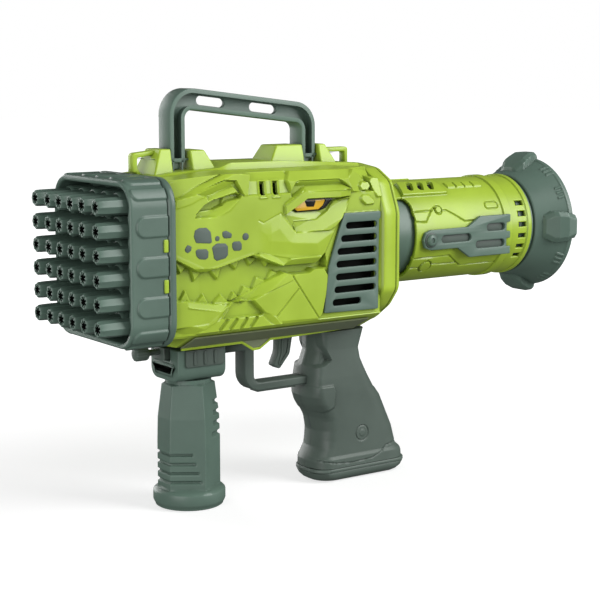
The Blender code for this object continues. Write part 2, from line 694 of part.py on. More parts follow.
# ---------------------------------------------------------------- handle, rail and grips
def make_carry_handle():
    front, rear = HANDLE_LEGS_X
    half_leg = 0.0048
    foot_half = 0.0026
    roof = {front: 0.0467, rear: 0.0480}
    slope = 0.1180        # the grip bar falls by this much for each unit of run

    def line(x, height):
        return height - slope * (x - 0.080)

    top, under = 0.0900, 0.0782
    corners = (
        (front - half_leg, HANDLE_FOOT_Z, 0), (front - half_leg, line(front - half_leg, top), 0.0145),
        (rear + half_leg, line(rear + half_leg, top), 0.0140), (rear + half_leg, HANDLE_FOOT_Z, 0),
        (rear - half_leg, HANDLE_FOOT_Z, 0), (rear - half_leg, line(rear - half_leg, under), 0.0045),
        (front + half_leg, line(front + half_leg, under), 0.0045),
        (front + half_leg, HANDLE_FOOT_Z, 0))
    slots = []
    for middle in (0.0895, 0.1243):
        level = line(middle, (top + under) / 2)
        slots.append([(x, z - slope * (x - middle))
                      for x, z in slot_outline((middle, level), 0.0093, 0.00215, 4)])
    mesh = plate(filleted(corners, 5), "Y", -HANDLE_HALF_Y, HANDLE_HALF_Y, slots)
    handle = place("carry_handle", mesh, GREY, DATUM)
    for label, x in zip(("front", "rear"), HANDLE_LEGS_X):
        stub = box((x - foot_half, -0.0045, roof[x] + GAP), (x + foot_half, 0.0045, HANDLE_FOOT_Z + 0.002))
        join(handle, stub)
        cut(handle, rod(HANDLE_SCREW_HOLE_R, 0.0400, 0.0590, "Z", (x, 0, 0), 8))
        base = roof[x] - WALL - 0.0022
        screw = place("handle_screw_" + label, rod(0.0022, base - 0.0016, base, "Z", (x, 0, 0), 12),
                      STEEL, DATUM)
        join(screw, rod(0.0008, base - 0.0008, 0.0580, "Z", (x, 0, 0), 8))


def make_guard_rail():
    low, high = RAIL_Z
    outline = filleted((
        (0.0560, high, 0), (0.1290, high, 0), (0.1290, -0.0533, 0), (0.1160, -0.0533, 0.0015),
        (0.1160, -0.0781, 0.0045), (0.1484, -0.0781, 0), (0.1484, -0.0832, 0),
        (0.1095, -0.0832, 0.0110), (0.1095, low, 0), (0.0560, low, 0)))
    rail = place("guard_rail", plate(outline, "Y", -RAIL_HALF_Y, RAIL_HALF_Y), DARK_GREY, DATUM)
    cut(rail, rod(0.0019, 0.0540, 0.0640, "X", (0, 0, KNOB_Z - 0.0012), 10))


def make_thumb_screw():
    axis = empty("thumb_screw_axis", (0.0465, 0, KNOB_Z - 0.0012), DATUM)
    flutes = 8
    radius, depth = 0.0040, 0.0006
    outline = []
    for i in range(flutes * 4):
        angle = 2 * pi * i / (flutes * 4)
        reach = radius - (depth if i % 4 == 0 else 0)
        outline.append((reach * cos(angle), reach * sin(angle)))
    knob = place("thumb_screw", plate(outline, "X", -0.0060, 0.0060), DARK_GREY, axis)
    join(knob, rod(0.0015, 0.0050, 0.0160, "X", sides=10))


def make_clamp():
    top, under = RAIL_Z[1] - 0.0007, -0.0703
    shoulder = 0.0064
    half_slot = RAIL_HALF_Y + GAP
    slot_z = RAIL_Z[0] - GAP
    outline = filleted((
        (-CLAMP_HALF_Y, top, 0), (-CLAMP_HALF_Y, under, shoulder), (CLAMP_HALF_Y, under, shoulder),
        (CLAMP_HALF_Y, top, 0), (half_slot, top, 0), (half_slot, slot_z, 0),
        (-half_slot, slot_z, 0), (-half_slot, top, 0)))
    clamp = place("clamp_block", plate(outline, "X", *CLAMP_X), GREY, DATUM)
    cut(clamp, rod(0.0023, -0.0800, -0.0550, "Z", (FRONT_GRIP_X, 0, 0), 12))
    for label, side in SIDES.items():
        ends = sorted((side * (CLAMP_HALF_Y + GAP), side * (CLAMP_HALF_Y + 0.0019)))
        outline = filleted(((0.0640, -0.0522, 0.001), (0.0885, -0.0522, 0.001),
                            (0.0885, -0.0617, 0.0015), (0.0640, -0.0617, 0.0015)), 2)
        place("clamp_plate_" + label, plate(outline, "Y", *ends), DARK_GREY, DATUM)


FRONT_GRIP_RINGS = (  # height, radius, how flat the six sides are
    (-0.0706, 0.0120, 0.0), (-0.0728, 0.0120, 0.0), (-0.0730, 0.0150, 1.0), (-0.0920, 0.0176, 1.0),
    (-0.1060, 0.0180, 1.0), (-0.1325, 0.0180, 1.0), (-0.1332, 0.0196, 0.0), (-0.1350, 0.0205, 0.0),
    (-0.1400, 0.0205, 0.0), (-0.1430, 0.0190, 0.0),
)
FACE_ANGLES = ((180, 22.5), (123.75, 33.75), (56.25, 33.75), (0, 22.5), (-56.25, 33.75),
               (-123.75, 33.75))


def faceted_ring(z, radius, flatness, count=24):
    points = []
    for i in range(count):
        angle = 2 * pi * (i + 0.5) / count
        reach = radius
        for face, half_width in FACE_ANGLES:
            lean = cos(angle - radians(face))
            if lean > 0.5:
                flat_reach = radius * cos(radians(half_width)) / lean
                reach = min(reach, radius + (flat_reach - radius) * flatness)
        points.append((FRONT_GRIP_X + reach * cos(angle), reach * sin(angle), z))
    return points


def make_front_grip():
    loops = [faceted_ring(z, radius, flat) for z, radius, flat in FRONT_GRIP_RINGS]
    grip = place("front_grip", loft(loops), GREY, DATUM)
    cut(grip, rod(0.0128, FLOOR_Z - 0.002, -0.0800, "Z", (FRONT_GRIP_X, 0, 0), 24))
    cut(grip, rod(0.0023, -0.0830, -0.0650, "Z", (FRONT_GRIP_X, 0, 0), 12))
    cap = rod(0.0125, FLOOR_Z, FLOOR_Z + 0.0030, "Z", (FRONT_GRIP_X, 0, 0), 24)
    place("grip_base_cap", cap, GREY, DATUM)
    bolt = place("grip_bolt", rod(0.0045, -0.0838, -0.0803, "Z", (FRONT_GRIP_X, 0, 0), 6),
                 STEEL, DATUM)
    join(bolt, rod(0.0020, -0.0810, -0.0592, "Z", (FRONT_GRIP_X, 0, 0), 12))


GRIP_CORNERS = (
    (0.1552, -0.0515, 0), (0.1545, -0.0636, 0), (0.1508, -0.0716, 0), (0.1491, -0.0810, 0),
    (0.1477, -0.0904, 0), (0.1490, -0.0960, 0), (0.1545, -0.1040, 0), (0.1572, -0.1121, 0),
    (0.1569, -0.1243, 0), (0.1514, -0.1285, 0.001), (0.1514, GRIP_SPLIT_Z, 0),
    (0.2270, GRIP_SPLIT_Z, 0), (0.2268, -0.1320, 0.001), (0.2228, -0.1280, 0), (0.2192, -0.1146, 0),
    (0.2101, -0.0945, 0), (0.1993, -0.0807, 0), (0.1925, -0.0700, 0.004), (0.1918, -0.0630, 0.004),
    (0.1965, -0.0515, 0),
)
GRIP_CAVITY = (
    (0.1590, -0.0560), (0.1560, -0.0700), (0.1515, -0.0790), (0.1512, -0.0920), (0.1555, -0.1030),
    (0.1592, -0.1121), (0.1592, -0.1250), (0.1590, -0.1400), (0.2215, -0.1400), (0.2200, -0.1280),
    (0.2168, -0.1150), (0.2080, -0.0955), (0.1985, -0.0830), (0.1900, -0.0710), (0.1890, -0.0560),
)


GRIP_SCREWS = ((0.1720, -0.0640), (0.1600, -0.0860), (0.2080, -0.1180))
GRIP_SCREW_R = 0.0025


def make_rear_grip():
    halves = {}
    for label, side in SIDES.items():
        ends = sorted((side * GAP / 2, side * GRIP_HALF_Y))
        outline = plate(filleted(GRIP_CORNERS, 2), "Y", *ends)
        halves[label] = place("rear_grip_" + label, outline, DARK_GREY, DATUM)
        cavity = sorted((-side * EXTRA, side * (GRIP_HALF_Y - WALL)))
        cut(halves[label], plate(GRIP_CAVITY, "Y", *cavity))
    sink = 0.0015
    pockets = [rod(GRIP_SCREW_R + 0.0005, GRIP_HALF_Y - sink, GRIP_HALF_Y + EXTRA, "Y", (x, 0, z), 12)
               for x, z in GRIP_SCREWS]
    cut(halves["right"], merged(pockets))
    for i, (x, z) in enumerate(GRIP_SCREWS):
        screw = rod(GRIP_SCREW_R, GRIP_HALF_Y - sink + GAP, GRIP_HALF_Y - GAP, "Y", (x, 0, z), 12)
        place(f"grip_screw_{i + 1}", screw, STEEL, DATUM)


def make_battery():
    cover_x = 0.1890
    cover_top = GRIP_SPLIT_Z - GAP
    cover_axis = empty("battery_cover_axis", (cover_x, 0, FLOOR_Z), DATUM)
    corners = [(x - cover_x, z - FLOOR_Z, radius) for x, z, radius in (
        (0.1514, cover_top, 0.001), (0.1560, FLOOR_Z, 0.0070), (0.2240, FLOOR_Z, 0.0060),
        (0.2270, cover_top, 0.001))]
    place("battery_cover", plate(filleted(corners, 3), "Y", -COVER_HALF_Y, COVER_HALF_Y), DARK_GREY,
          cover_axis)
    contact_low = GRIP_SPLIT_Z - FLOOR_Z
    contact = box((-0.0250, -0.0070, contact_low), (0.0200, 0.0070, contact_low + 0.0007))
    place("battery_contact_bottom", contact, STEEL, cover_axis)

    pitch = (2 * CELL_R + 0.0002) / cos(CELL_TILT)
    foot = Vector((0.1722, 0, -0.1312))
    button_r, button_height = 0.0027, 0.0012
    shoulder = CELL_LENGTH - button_height
    lean = Matrix.Rotation(-CELL_TILT, 4, "Y")
    for i, label in enumerate(("front", "middle", "rear")):
        at = foot + Vector((pitch * i, 0, 0))
        item = place("battery_cell_" + label, rod(CELL_R, 0, shoulder, "Z", sides=20), CELL_WRAP,
                     DATUM, at, lean)
        join(item, rod(button_r, shoulder - EXTRA, CELL_LENGTH, "Z", sides=10), at, lean)
    contact = box((0.1560, -0.0070, -0.0790), (0.1950, 0.0070, -0.0782))
    place("battery_contact_top", contact, STEEL, DATUM)


# ---------------------------------------------------------------- electrics
def wire(name, points, colour):
    curve = bpy.data.curves.new(name, "CURVE")
    curve.dimensions = "3D"
    curve.bevel_depth = 0.0006
    curve.bevel_resolution = 0
    curve.render_resolution_u = 0
    curve.use_fill_caps = True
    spline = curve.splines.new("POLY")
    spline.points.add(len(points) - 1)
    for target, point in zip(spline.points, points):
        target.co = (*point, 1)
    place(name, curve, (colour, 0.4), DATUM)


def make_electrics():
    place("circuit_board", box((0.1260, 0.0140, -0.0200), (0.1560, 0.0156, 0.0060)), BOARD, DATUM)
    leads = {"motor_lead_red": ((0.60, 0.02, 0.02), 0.0040), "motor_lead_black": ((0.02,) * 3, -0.0040)}
    for name, (colour, z) in leads.items():
        points = [(0.1195 + 0.0010 * i, 0.0005 * i * i / 3, z - 0.0004 * i) for i in range(8)]
        points += [(0.1285 + 0.0015 * i, 0.0095 + 0.0008 * i, z - 0.0030) for i in range(5)]
        wire(name, points, colour)


SHELL_SCREWS = ((0.0620, -0.0330), (0.0620, 0.0180), (0.1250, -0.0330), (0.1250, 0.0100))


def make_shell_screws():
    for i, (x, z) in enumerate(SHELL_SCREWS):
        head = rod(0.0028, 0.0391, 0.0404, "Y", (x, 0, z), 12)
        place(f"shell_screw_{i + 1}", head, STEEL, DATUM)


def main():
    make_nozzle_block()
    make_head_shroud()
    make_body_shells()
    make_vent_panels()
    make_eyes()
    make_barrel()
    make_bell()
    make_links()
    make_lower_trims()
    make_air_path()
    make_trigger_group()
    make_carry_handle()
    make_guard_rail()
    make_thumb_screw()
    make_clamp()
    make_front_grip()
    make_rear_grip()
    make_battery()
    make_electrics()
    make_shell_screws()


clear_scene()
PARTS = collection("bubble_machine")
TOOLS = collection("cutters")
DATUM = empty("datum", (-LENGTH / 2, 0, GRID_HEIGHT))
main()
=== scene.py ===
"""Looks of the toy bubble machine, built around its CAD frame.

Shapes are given in millimetres in the part's own coordinates: X runs from the nozzle
tips (0) back to the bell's rim, Y is 0 where the two shells meet, and Z is height above
the middle of the nozzle grid. Both sides of the toy are built from one description.
"""
from math import cos, pi, radians, sin

import bmesh
import bpy
import numpy as np
from mathutils import Matrix, Vector


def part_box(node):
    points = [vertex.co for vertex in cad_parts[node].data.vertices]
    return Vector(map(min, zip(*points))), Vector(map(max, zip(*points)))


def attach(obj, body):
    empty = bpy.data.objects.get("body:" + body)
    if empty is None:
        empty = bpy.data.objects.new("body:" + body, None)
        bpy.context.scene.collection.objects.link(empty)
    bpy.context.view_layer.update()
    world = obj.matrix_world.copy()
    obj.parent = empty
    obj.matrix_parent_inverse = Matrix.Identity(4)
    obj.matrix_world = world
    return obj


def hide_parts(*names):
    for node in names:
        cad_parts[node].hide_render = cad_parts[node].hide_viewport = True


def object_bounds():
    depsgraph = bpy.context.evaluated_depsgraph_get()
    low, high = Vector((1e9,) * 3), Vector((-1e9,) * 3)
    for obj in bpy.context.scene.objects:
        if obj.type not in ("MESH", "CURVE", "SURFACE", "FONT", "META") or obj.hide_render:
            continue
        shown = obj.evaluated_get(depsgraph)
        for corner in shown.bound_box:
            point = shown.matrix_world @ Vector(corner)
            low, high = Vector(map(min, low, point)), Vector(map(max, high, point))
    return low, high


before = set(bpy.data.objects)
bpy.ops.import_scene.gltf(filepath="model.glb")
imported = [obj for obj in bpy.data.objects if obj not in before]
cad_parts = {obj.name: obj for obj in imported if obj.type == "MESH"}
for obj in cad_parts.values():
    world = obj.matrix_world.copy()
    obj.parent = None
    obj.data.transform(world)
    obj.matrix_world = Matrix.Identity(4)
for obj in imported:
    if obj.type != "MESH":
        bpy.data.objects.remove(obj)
cad_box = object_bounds()
block_low, block_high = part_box("nozzle_block")
ORIGIN = Vector((block_low[0], 0, (block_low[2] + block_high[2]) / 2))
MM = 0.001
SIDES = {"left": -1, "right": 1}
STEP = 0.45                # spacing of the fine skins
WALL = 2.2                 # thickness of the moulded shells
SEAM = 0.15                # half the gap where the two shells meet
PAINTED_SHADE_REACH = 0.007       # how near a wall has to be for the plastic beside it to be painted darker as shade
BARREL_Z = 2.8             # height of the barrel's middle


# ---------------------------------------------------------------- finishes
def node(tree, kind, **values):
    made = tree.nodes.new("ShaderNode" + kind)
    for key, value in values.items():
        made.inputs[key.replace("_", " ")].default_value = value
    return made


def finish(name, colour, roughness, metallic=0.0, grain=0.12, drift=0.10, scale=1500.0, edge=0.10,
           stretch=(1, 1, 1), specular=0.5, recess=0.5):
    """Moulded or plated surface: slow colour drift, painted highlight on convex edges and painted shade in
    creases and recesses, uneven gloss and fine grain.
    """
    made = bpy.data.materials.new(name)
    made.use_nodes = True
    tree = made.node_tree
    link = tree.links.new
    shader = tree.nodes["Principled BSDF"]
    shader.inputs["Metallic"].default_value = metallic
    shader.inputs["Specular IOR Level"].default_value = specular
    where = node(tree, "TexCoord")
    spread = node(tree, "Mapping", Scale=stretch)
    link(where.outputs["Object"], spread.inputs["Vector"])
    cloud = node(tree, "TexNoise", Scale=28.0, Detail=3.0, Roughness=0.55)
    speck = node(tree, "TexNoise", Scale=scale, Detail=2.0, Roughness=0.6)
    for noise in (cloud, speck):
        link(spread.outputs["Vector"], noise.inputs["Vector"])
    tone = tree.nodes.new("ShaderNodeValToRGB")
    dark, light = tone.color_ramp.elements
    dark.position, light.position = 0.3, 0.7
    dark.color = (*(c * (1 - drift) for c in colour), 1)
    light.color = (*(min(1, c * (1 + drift)) for c in colour), 1)
    link(cloud.outputs["Fac"], tone.inputs["Fac"])
    # Painted light: by edge, convex edges are painted lighter as a highlight and creases darker as shade.
    corner = node(tree, "NewGeometry")
    painted_edge_light_and_shade = node(tree, "MapRange", From_Min=0.46, From_Max=0.56, To_Min=1 - edge, To_Max=1 + edge)
    link(corner.outputs["Pointiness"], painted_edge_light_and_shade.inputs["Value"])
    # Painted shade: by recess, the colour is painted darker where walls are near, in recesses and creases.
    shelter = tree.nodes.new("ShaderNodeAmbientOcclusion")
    shelter.samples = 6
    shelter.inputs["Distance"].default_value = PAINTED_SHADE_REACH
    painted_recess_shade = node(tree, "MapRange", From_Min=0.25, From_Max=0.95, To_Min=1 - recess, To_Max=1.0)
    link(shelter.outputs["AO"], painted_recess_shade.inputs["Value"])
    colour_in = tone.outputs["Color"]
    for share in (painted_edge_light_and_shade, painted_recess_shade):
        step = tree.nodes.new("ShaderNodeVectorMath")
        step.operation = "SCALE"
        link(colour_in, step.inputs[0])
        link(share.outputs["Result"], step.inputs["Scale"])
        colour_in = step.outputs["Vector"]
    link(colour_in, shader.inputs["Base Color"])
    gloss = node(tree, "MapRange", From_Min=0.3, From_Max=0.7, To_Min=roughness - 0.05,
                 To_Max=roughness + 0.07)
    link(cloud.outputs["Fac"], gloss.inputs["Value"])
    link(gloss.outputs["Result"], shader.inputs["Roughness"])
    bump = node(tree, "Bump", Strength=grain, Distance=0.0002)
    link(speck.outputs["Fac"], bump.inputs["Height"])
    link(bump.outputs["Normal"], shader.inputs["Normal"])
    return made


# Each finish paints shade into recesses by recess, and light and shade onto edges by edge; the floor has
# neither.
GREEN = finish("lime_green_abs", (0.375, 0.530, 0.042), 0.34, grain=0.06)
GREY = finish("grey_green_abs", (0.106, 0.168, 0.134), 0.40, recess=0.3)
DARK = finish("dark_grey_green_abs", (0.085, 0.116, 0.097), 0.48, grain=0.2)
STRIP = finish("olive_trim", (0.190, 0.225, 0.125), 0.5, recess=0.25)
AMBER = finish("amber_eye", (0.72, 0.42, 0.025), 0.25, grain=0.02, drift=0.16, recess=0.2)
PUPIL = finish("black_gloss", (0.012, 0.012, 0.011), 0.22, grain=0.02)
# Near black and nearly without gloss: painted shade, laid in nozzle bores and behind the vent where only
# shadow shows.
PAINTED_SHADE_BLACK = finish("painted_shade_black", (0.006, 0.007, 0.006), 0.8, specular=0.1)
SPOT = finish("grey_green_spots", (0.085, 0.118, 0.100), 0.5)
WHITE = finish("natural_white_abs", (0.72, 0.71, 0.67), 0.45)
BLACK = finish("black_phenolic", (0.020, 0.020, 0.020), 0.5)
BOARD = finish("green_solder_mask", (0.020, 0.150, 0.050), 0.35, scale=700.0)
STEEL = finish("nickel_plated_steel", (0.62, 0.61, 0.58), 0.28, 1.0, grain=0.3, stretch=(1, 1, 9))
CAN = finish("motor_can_plating", (0.56, 0.56, 0.55), 0.32, 1.0, grain=0.2, stretch=(0.2, 4, 4))
SLEEVE = finish("cell_sleeve", (0.055, 0.065, 0.075), 0.3, grain=0.05)
RED = finish("red_pvc", (0.60, 0.02, 0.02), 0.4)
FLOOR = finish("pale_floor", (0.45, 0.45, 0.45), 0.9, grain=0.0, drift=0.004, edge=0.0, recess=0.0)


def light_floor():
    """The pale sheet is lit from below, a little more with distance, so it runs out to white."""
    tree = FLOOR.node_tree
    link = tree.links.new
    where = node(tree, "TexCoord")
    reach = tree.nodes.new("ShaderNodeVectorMath")
    reach.operation = "LENGTH"
    link(where.outputs["Object"], reach.inputs[0])
    glow = node(tree, "MapRange", From_Min=0.15, From_Max=0.9, To_Min=0.66, To_Max=1.0)
    link(reach.outputs["Value"], glow.inputs["Value"])
    shader = tree.nodes["Principled BSDF"]
    shader.inputs["Emission Color"].default_value = (1, 1, 1, 1)
    shader.inputs["Specular IOR Level"].default_value = 0.0
    link(glow.outputs["Result"], shader.inputs["Emission Strength"])


light_floor()


# ---------------------------------------------------------------- pieces
def settle(item, material, body="root", replaces=(), sharp=38):
    """Names what a finished mesh piece is made of, rides on and stands for."""
    bpy.context.scene.collection.objects.link(item)
    mesh = item.data
    if not mesh.materials:
        mesh.materials.append(material)
    mesh.shade_smooth()
    if sharp:
        mesh.set_sharp_from_angle(angle=radians(sharp))
    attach(item, body)
    if replaces:
        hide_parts(*([replaces] if isinstance(replaces, str) else replaces))
    return item


def solid(name, points, faces, material, **options):
    """Piece from points in millimetres and faces, with normals made consistent."""
    mesh = bpy.data.meshes.new(name)
    mesh.from_pydata([Vector(map(float, p)) * MM + ORIGIN for p in points], [], faces)
    bm = bmesh.new()
    bm.from_mesh(mesh)
    bmesh.ops.recalc_face_normals(bm, faces=bm.faces)
    bm.to_mesh(mesh)
    bm.free()
    return settle(bpy.data.objects.new(name, mesh), material, **options)


def skin(name, field, material, closed=False, keep=None, wall=0.0, **options):
    """Fine skin over a rows x columns field of points, which faces away from its middle."""
    rows, columns, _ = field.shape
    index = np.arange(rows * columns).reshape(rows, columns)
    if closed:
        index = np.hstack((index, index[:, :1]))
    quads = np.stack((index[:-1, :-1], index[1:, :-1], index[1:, 1:], index[:-1, 1:]), -1)
    if keep is not None:
        quads = quads[keep[:quads.shape[0], :quads.shape[1]]]
    quads = quads.reshape(-1, 4)
    used, quads = np.unique(quads, return_inverse=True)
    quads = quads.reshape(-1, 4)
    points = field.reshape(-1, 3)[used]
    corners = points[quads]
    normal = np.cross(corners[:, 2] - corners[:, 0], corners[:, 3] - corners[:, 1])
    middle = np.array((0, 0, points[:, 2].mean()))
    away = corners.mean(axis=1) - middle
    away[:, 0] = 0
    if (normal * away).sum() < 0:
        quads = quads[:, ::-1]
    mesh = bpy.data.meshes.new(name)
    mesh.from_pydata((points * MM + np.array(ORIGIN)).tolist(), [], quads.tolist())
    item = settle(bpy.data.objects.new(name, mesh), material, sharp=options.pop("sharp", 0), **options)
    if wall:
        step = item.modifiers.new("wall", "SOLIDIFY")
        step.thickness = wall * MM
        step.offset = -1
    return item


def soften(item, width, segments=2, angle=30):
    step = item.modifiers.new("edges", "BEVEL")
    step.width = width * MM
    step.segments = segments
    step.limit_method = "ANGLE"
    step.angle_limit = radians(angle)
    step.harden_normals = True
    return item


def plate(name, outline, low, high, material, axis="Y", holes=(), edge=0.4, **options):
    """Flat outline with holes and rounded edges, thick from low to high along an axis.

    Outlines are (x, z) for a plate along Y, (y, z) along X and (x, y) along Z.
    """
    curve = bpy.data.curves.new(name, "CURVE")
    curve.dimensions = "2D"
    curve.fill_mode = "BOTH"
    low, high = sorted((low, high))
    curve.extrude = (high - low) / 2 - edge
    curve.bevel_depth = edge
    curve.bevel_resolution = 2
    curve.offset = -edge
    curve.render_resolution_u = 0
    for points in (outline, *holes):
        spline = curve.splines.new("POLY")
        spline.points.add(len(points) - 1)
        for target, (u, v) in zip(spline.points, points):
            target.co = (u, v, 0, 1)
        spline.use_cyclic_u = True
    item = bpy.data.objects.new(name, curve)
    bpy.context.scene.collection.objects.link(item)
    bpy.context.view_layer.update()
    flat = bpy.data.meshes.new_from_object(item.evaluated_get(bpy.context.evaluated_depsgraph_get()))
    bpy.data.objects.remove(item, do_unlink=True)
    middle = (low + high) / 2
    upright = Matrix.Rotation(pi / 2, 4, "X")
    turn = {"Z": Matrix.Translation((0, 0, middle)),
            "Y": Matrix.Translation((0, middle, 0)) @ upright,
            "X": Matrix.Translation((middle, 0, 0)) @ Matrix.Rotation(pi / 2, 4, "Z") @ upright}
    flat.transform(turn[axis])
    points = [vert.co.copy() for vert in flat.vertices]
    faces = [tuple(face.vertices) for face in flat.polygons]
    return solid(name, *welded(points, faces), material, **options)


def welded(points, faces, near=0.0005):
    """Points closer than a hair become one, and faces that lose their area go."""
    places, order, moved = [], {}, []
    for point in points:
        key = tuple(round(c / near / 4) for c in point)
        if key not in order:
            order[key] = len(places)
            places.append(point)
        moved.append(order[key])
    kept = []
    for face in faces:
        ring = []
        for i in face:
            if moved[i] not in ring:
                ring.append(moved[i])
        if len(ring) > 2:
            kept.append(ring)
    return places, kept


def both(name, outline, low, high, material, replaces="", **options):
    """The same plate on both sides of the toy."""
    for label, side in SIDES.items():
        stands_for = replaces + "_" + label if replaces else ()
        plate(name + "_" + label, outline, side * low, side * high, material, replaces=stands_for, **options)


def skin_both(name, field, material, stands_for=True, **options):
    """The same skin on both sides of the toy."""
    for label, side in SIDES.items():
        whole = name + "_" + label
        skin(whole, field * (1, side, 1), material, replaces=whole if stands_for else (), **options)


def row(x, y, z):
    """Row of points for a skin; any of the three may be one value for the whole row."""
    return np.stack(np.broadcast_arrays(x, y, z), -1)


def loft(name, loops, material, closed=False, **options):
    """Skin over closed loops of equal count with both ends capped, or a ring of loops."""
    count = len(loops[0])
    faces = []
    pairs = [(i, i + 1) for i in range(len(loops) - 1)] + ([(len(loops) - 1, 0)] if closed else [])
    for a, b in pairs:
        for i in range(count):
            j = (i + 1) % count
            faces.append((a * count + i, a * count + j, b * count + j, b * count + i))
    if not closed:
        faces.append(tuple(range(count)))
        faces.append(tuple(range((len(loops) - 1) * count, len(loops) * count)))
    return solid(name, [p for loop in loops for p in loop], faces, material, **options)


def turned(name, profile, material, axis="X", at=(0, 0, 0), count=48, closed=True, wave=None, **options):
    """Turned shape: the (along, radius) profile runs round the axis. wave changes the radius."""
    loops = []
    for along, radius in profile:
        loop = []
        for i in range(count):
            angle = 2 * pi * i / count
            reach = radius * (wave(angle, along) if wave else 1)
            u, v = reach * cos(angle), reach * sin(angle)
            spot = {"X": (along, u, v), "Y": (u, along, v), "Z": (u, v, along)}[axis]
            loop.append(tuple(a + b for a, b in zip(spot, at)))
        loops.append(loop)
    return loft(name, loops, material, closed=closed, **options)


# ---------------------------------------------------------------- outlines and height fields
def filleted(corners, segments=4):
    """Closed outline of (u, v, radius) corners with arcs in the rounded ones."""
    points = []
    for i, (u, v, radius) in enumerate(corners):
        here = Vector((u, v))
        if radius == 0:
            points.append((u, v))
            continue
        back = (Vector(corners[i - 1][:2]) - here).normalized()
        ahead = (Vector(corners[(i + 1) % len(corners)][:2]) - here).normalized()
        half_angle = back.angle(ahead) / 2
        centre = here + (back + ahead).normalized() * radius / sin(half_angle)
        start = here + back * radius * cos(half_angle) / sin(half_angle) - centre
        end = here + ahead * radius * cos(half_angle) / sin(half_angle) - centre
        sweep = start.angle_signed(end)
        for k in range(segments + 1):
            points.append(tuple(centre + Matrix.Rotation(-sweep * k / segments, 2) @ start))
    return points


def rounded(outline, radius=0.6, segments=3):
    return filleted([(u, v, radius) for u, v in outline], segments)


def circle(u, v, radius, count=32):
    turns = [2 * pi * k / count for k in range(count)]
    return [(u + radius * cos(turn), v + radius * sin(turn)) for turn in turns]


def evenly(line, spacing=0.5, count=None):
    """The same line with its points spaced evenly."""
    points = np.array(line)
    length = np.concatenate(((0,), np.cumsum(np.hypot(*np.diff(points, axis=0).T))))
    along = np.linspace(0, length[-1], count or int(length[-1] / spacing) + 1)
    return np.stack([np.interp(along, length, points[:, i]) for i in (0, 1)], -1)


def inset(outline, depth):
    """Outline moved inwards by an even depth, whichever way round it runs."""
    points = [Vector(p) for p in outline]
    area = sum(a.x * b.y - b.x * a.y for a, b in zip(points, points[1:] + points[:1]))
    turn = 1 if area > 0 else -1
    moved = []
    for i, here in enumerate(points):
        back = (here - points[i - 1]).normalized()
        ahead = (points[(i + 1) % len(points)] - here).normalized()
        normals = [Vector((-d.y, d.x)) * turn for d in (back, ahead)]
        middle = (normals[0] + normals[1]).normalized()
        moved.append(tuple(here + middle * depth / max(0.4, middle.dot(normals[0]))))
    return moved


def slot_outline(centre, half_length, half_height, per_end=6, lean=0.0):
    u, v = centre
    straight = half_length - half_height
    points = []
    for end in (0, 1):
        for i in range(per_end + 1):
            angle = pi * (end + i / per_end) - pi / 2
            reach = straight if end == 0 else -straight
            x, z = reach + half_height * cos(angle), half_height * sin(angle)
            points.append((u + x * cos(lean) - z * sin(lean), v + x * sin(lean) + z * cos(lean)))
    return points


def round_rect(half_u, half_v, radius, per_corner=6):
    return filleted([(half_u, half_v, radius), (-half_u, half_v, radius), (-half_u, -half_v, radius),
                     (half_u, -half_v, radius)], per_corner)


def distance(u, v, line):
    nearest = np.full(u.shape, np.inf)
    for (u0, v0), (u1, v1) in zip(line, line[1:]):
        du, dv = u1 - u0, v1 - v0
        t = np.clip(((u - u0) * du + (v - v0) * dv) / (du * du + dv * dv + 1e-12), 0, 1)
        nearest = np.minimum(nearest, np.hypot(u - u0 - t * du, v - v0 - t * dv))
    return nearest


def depth_inside(u, v, outline):
    """How far each point is inside a closed outline; outside it is negative."""
    ring = (*outline, outline[0])
    nearest = distance(u, v, ring)
    crossings = np.zeros(u.shape, int)
    for (u0, v0), (u1, v1) in zip(ring, ring[1:]):
        level = (v0 > v) != (v1 > v)
        reach = u0 + (v - v0) * (u1 - u0) / ((v1 - v0) or 1e-9)
        crossings += level & (u < reach)
    return np.where(crossings % 2 == 1, nearest, -nearest)


def ramp(start, end, low, high):
    """Height from low at one point to high at another, level beyond them."""
    def height(u, v):
        du, dv = end[0] - start[0], end[1] - start[1]
        t = ((u - start[0]) * du + (v - start[1]) * dv) / (du * du + dv * dv)
        return low + (high - low) * np.clip(t, 0, 1)
    return height


def blend(depth, soft):
    """Share from 0 to 1 across a soft border, a half where the depth is nothing."""
    return np.clip(0.5 + depth / soft, 0, 1)


def paint(height, u, v, outline, target, soft=0.7):
    """Blends an area of a height field to a target height or slope."""
    weight = blend(depth_inside(u, v, outline), soft)
    goal = target(u, v) if callable(target) else target
    return height * (1 - weight) + goal * weight


def groove(height, u, v, line, half_width, depth, soft=0.5):
    return height - depth * blend(half_width - distance(u, v, line), soft)


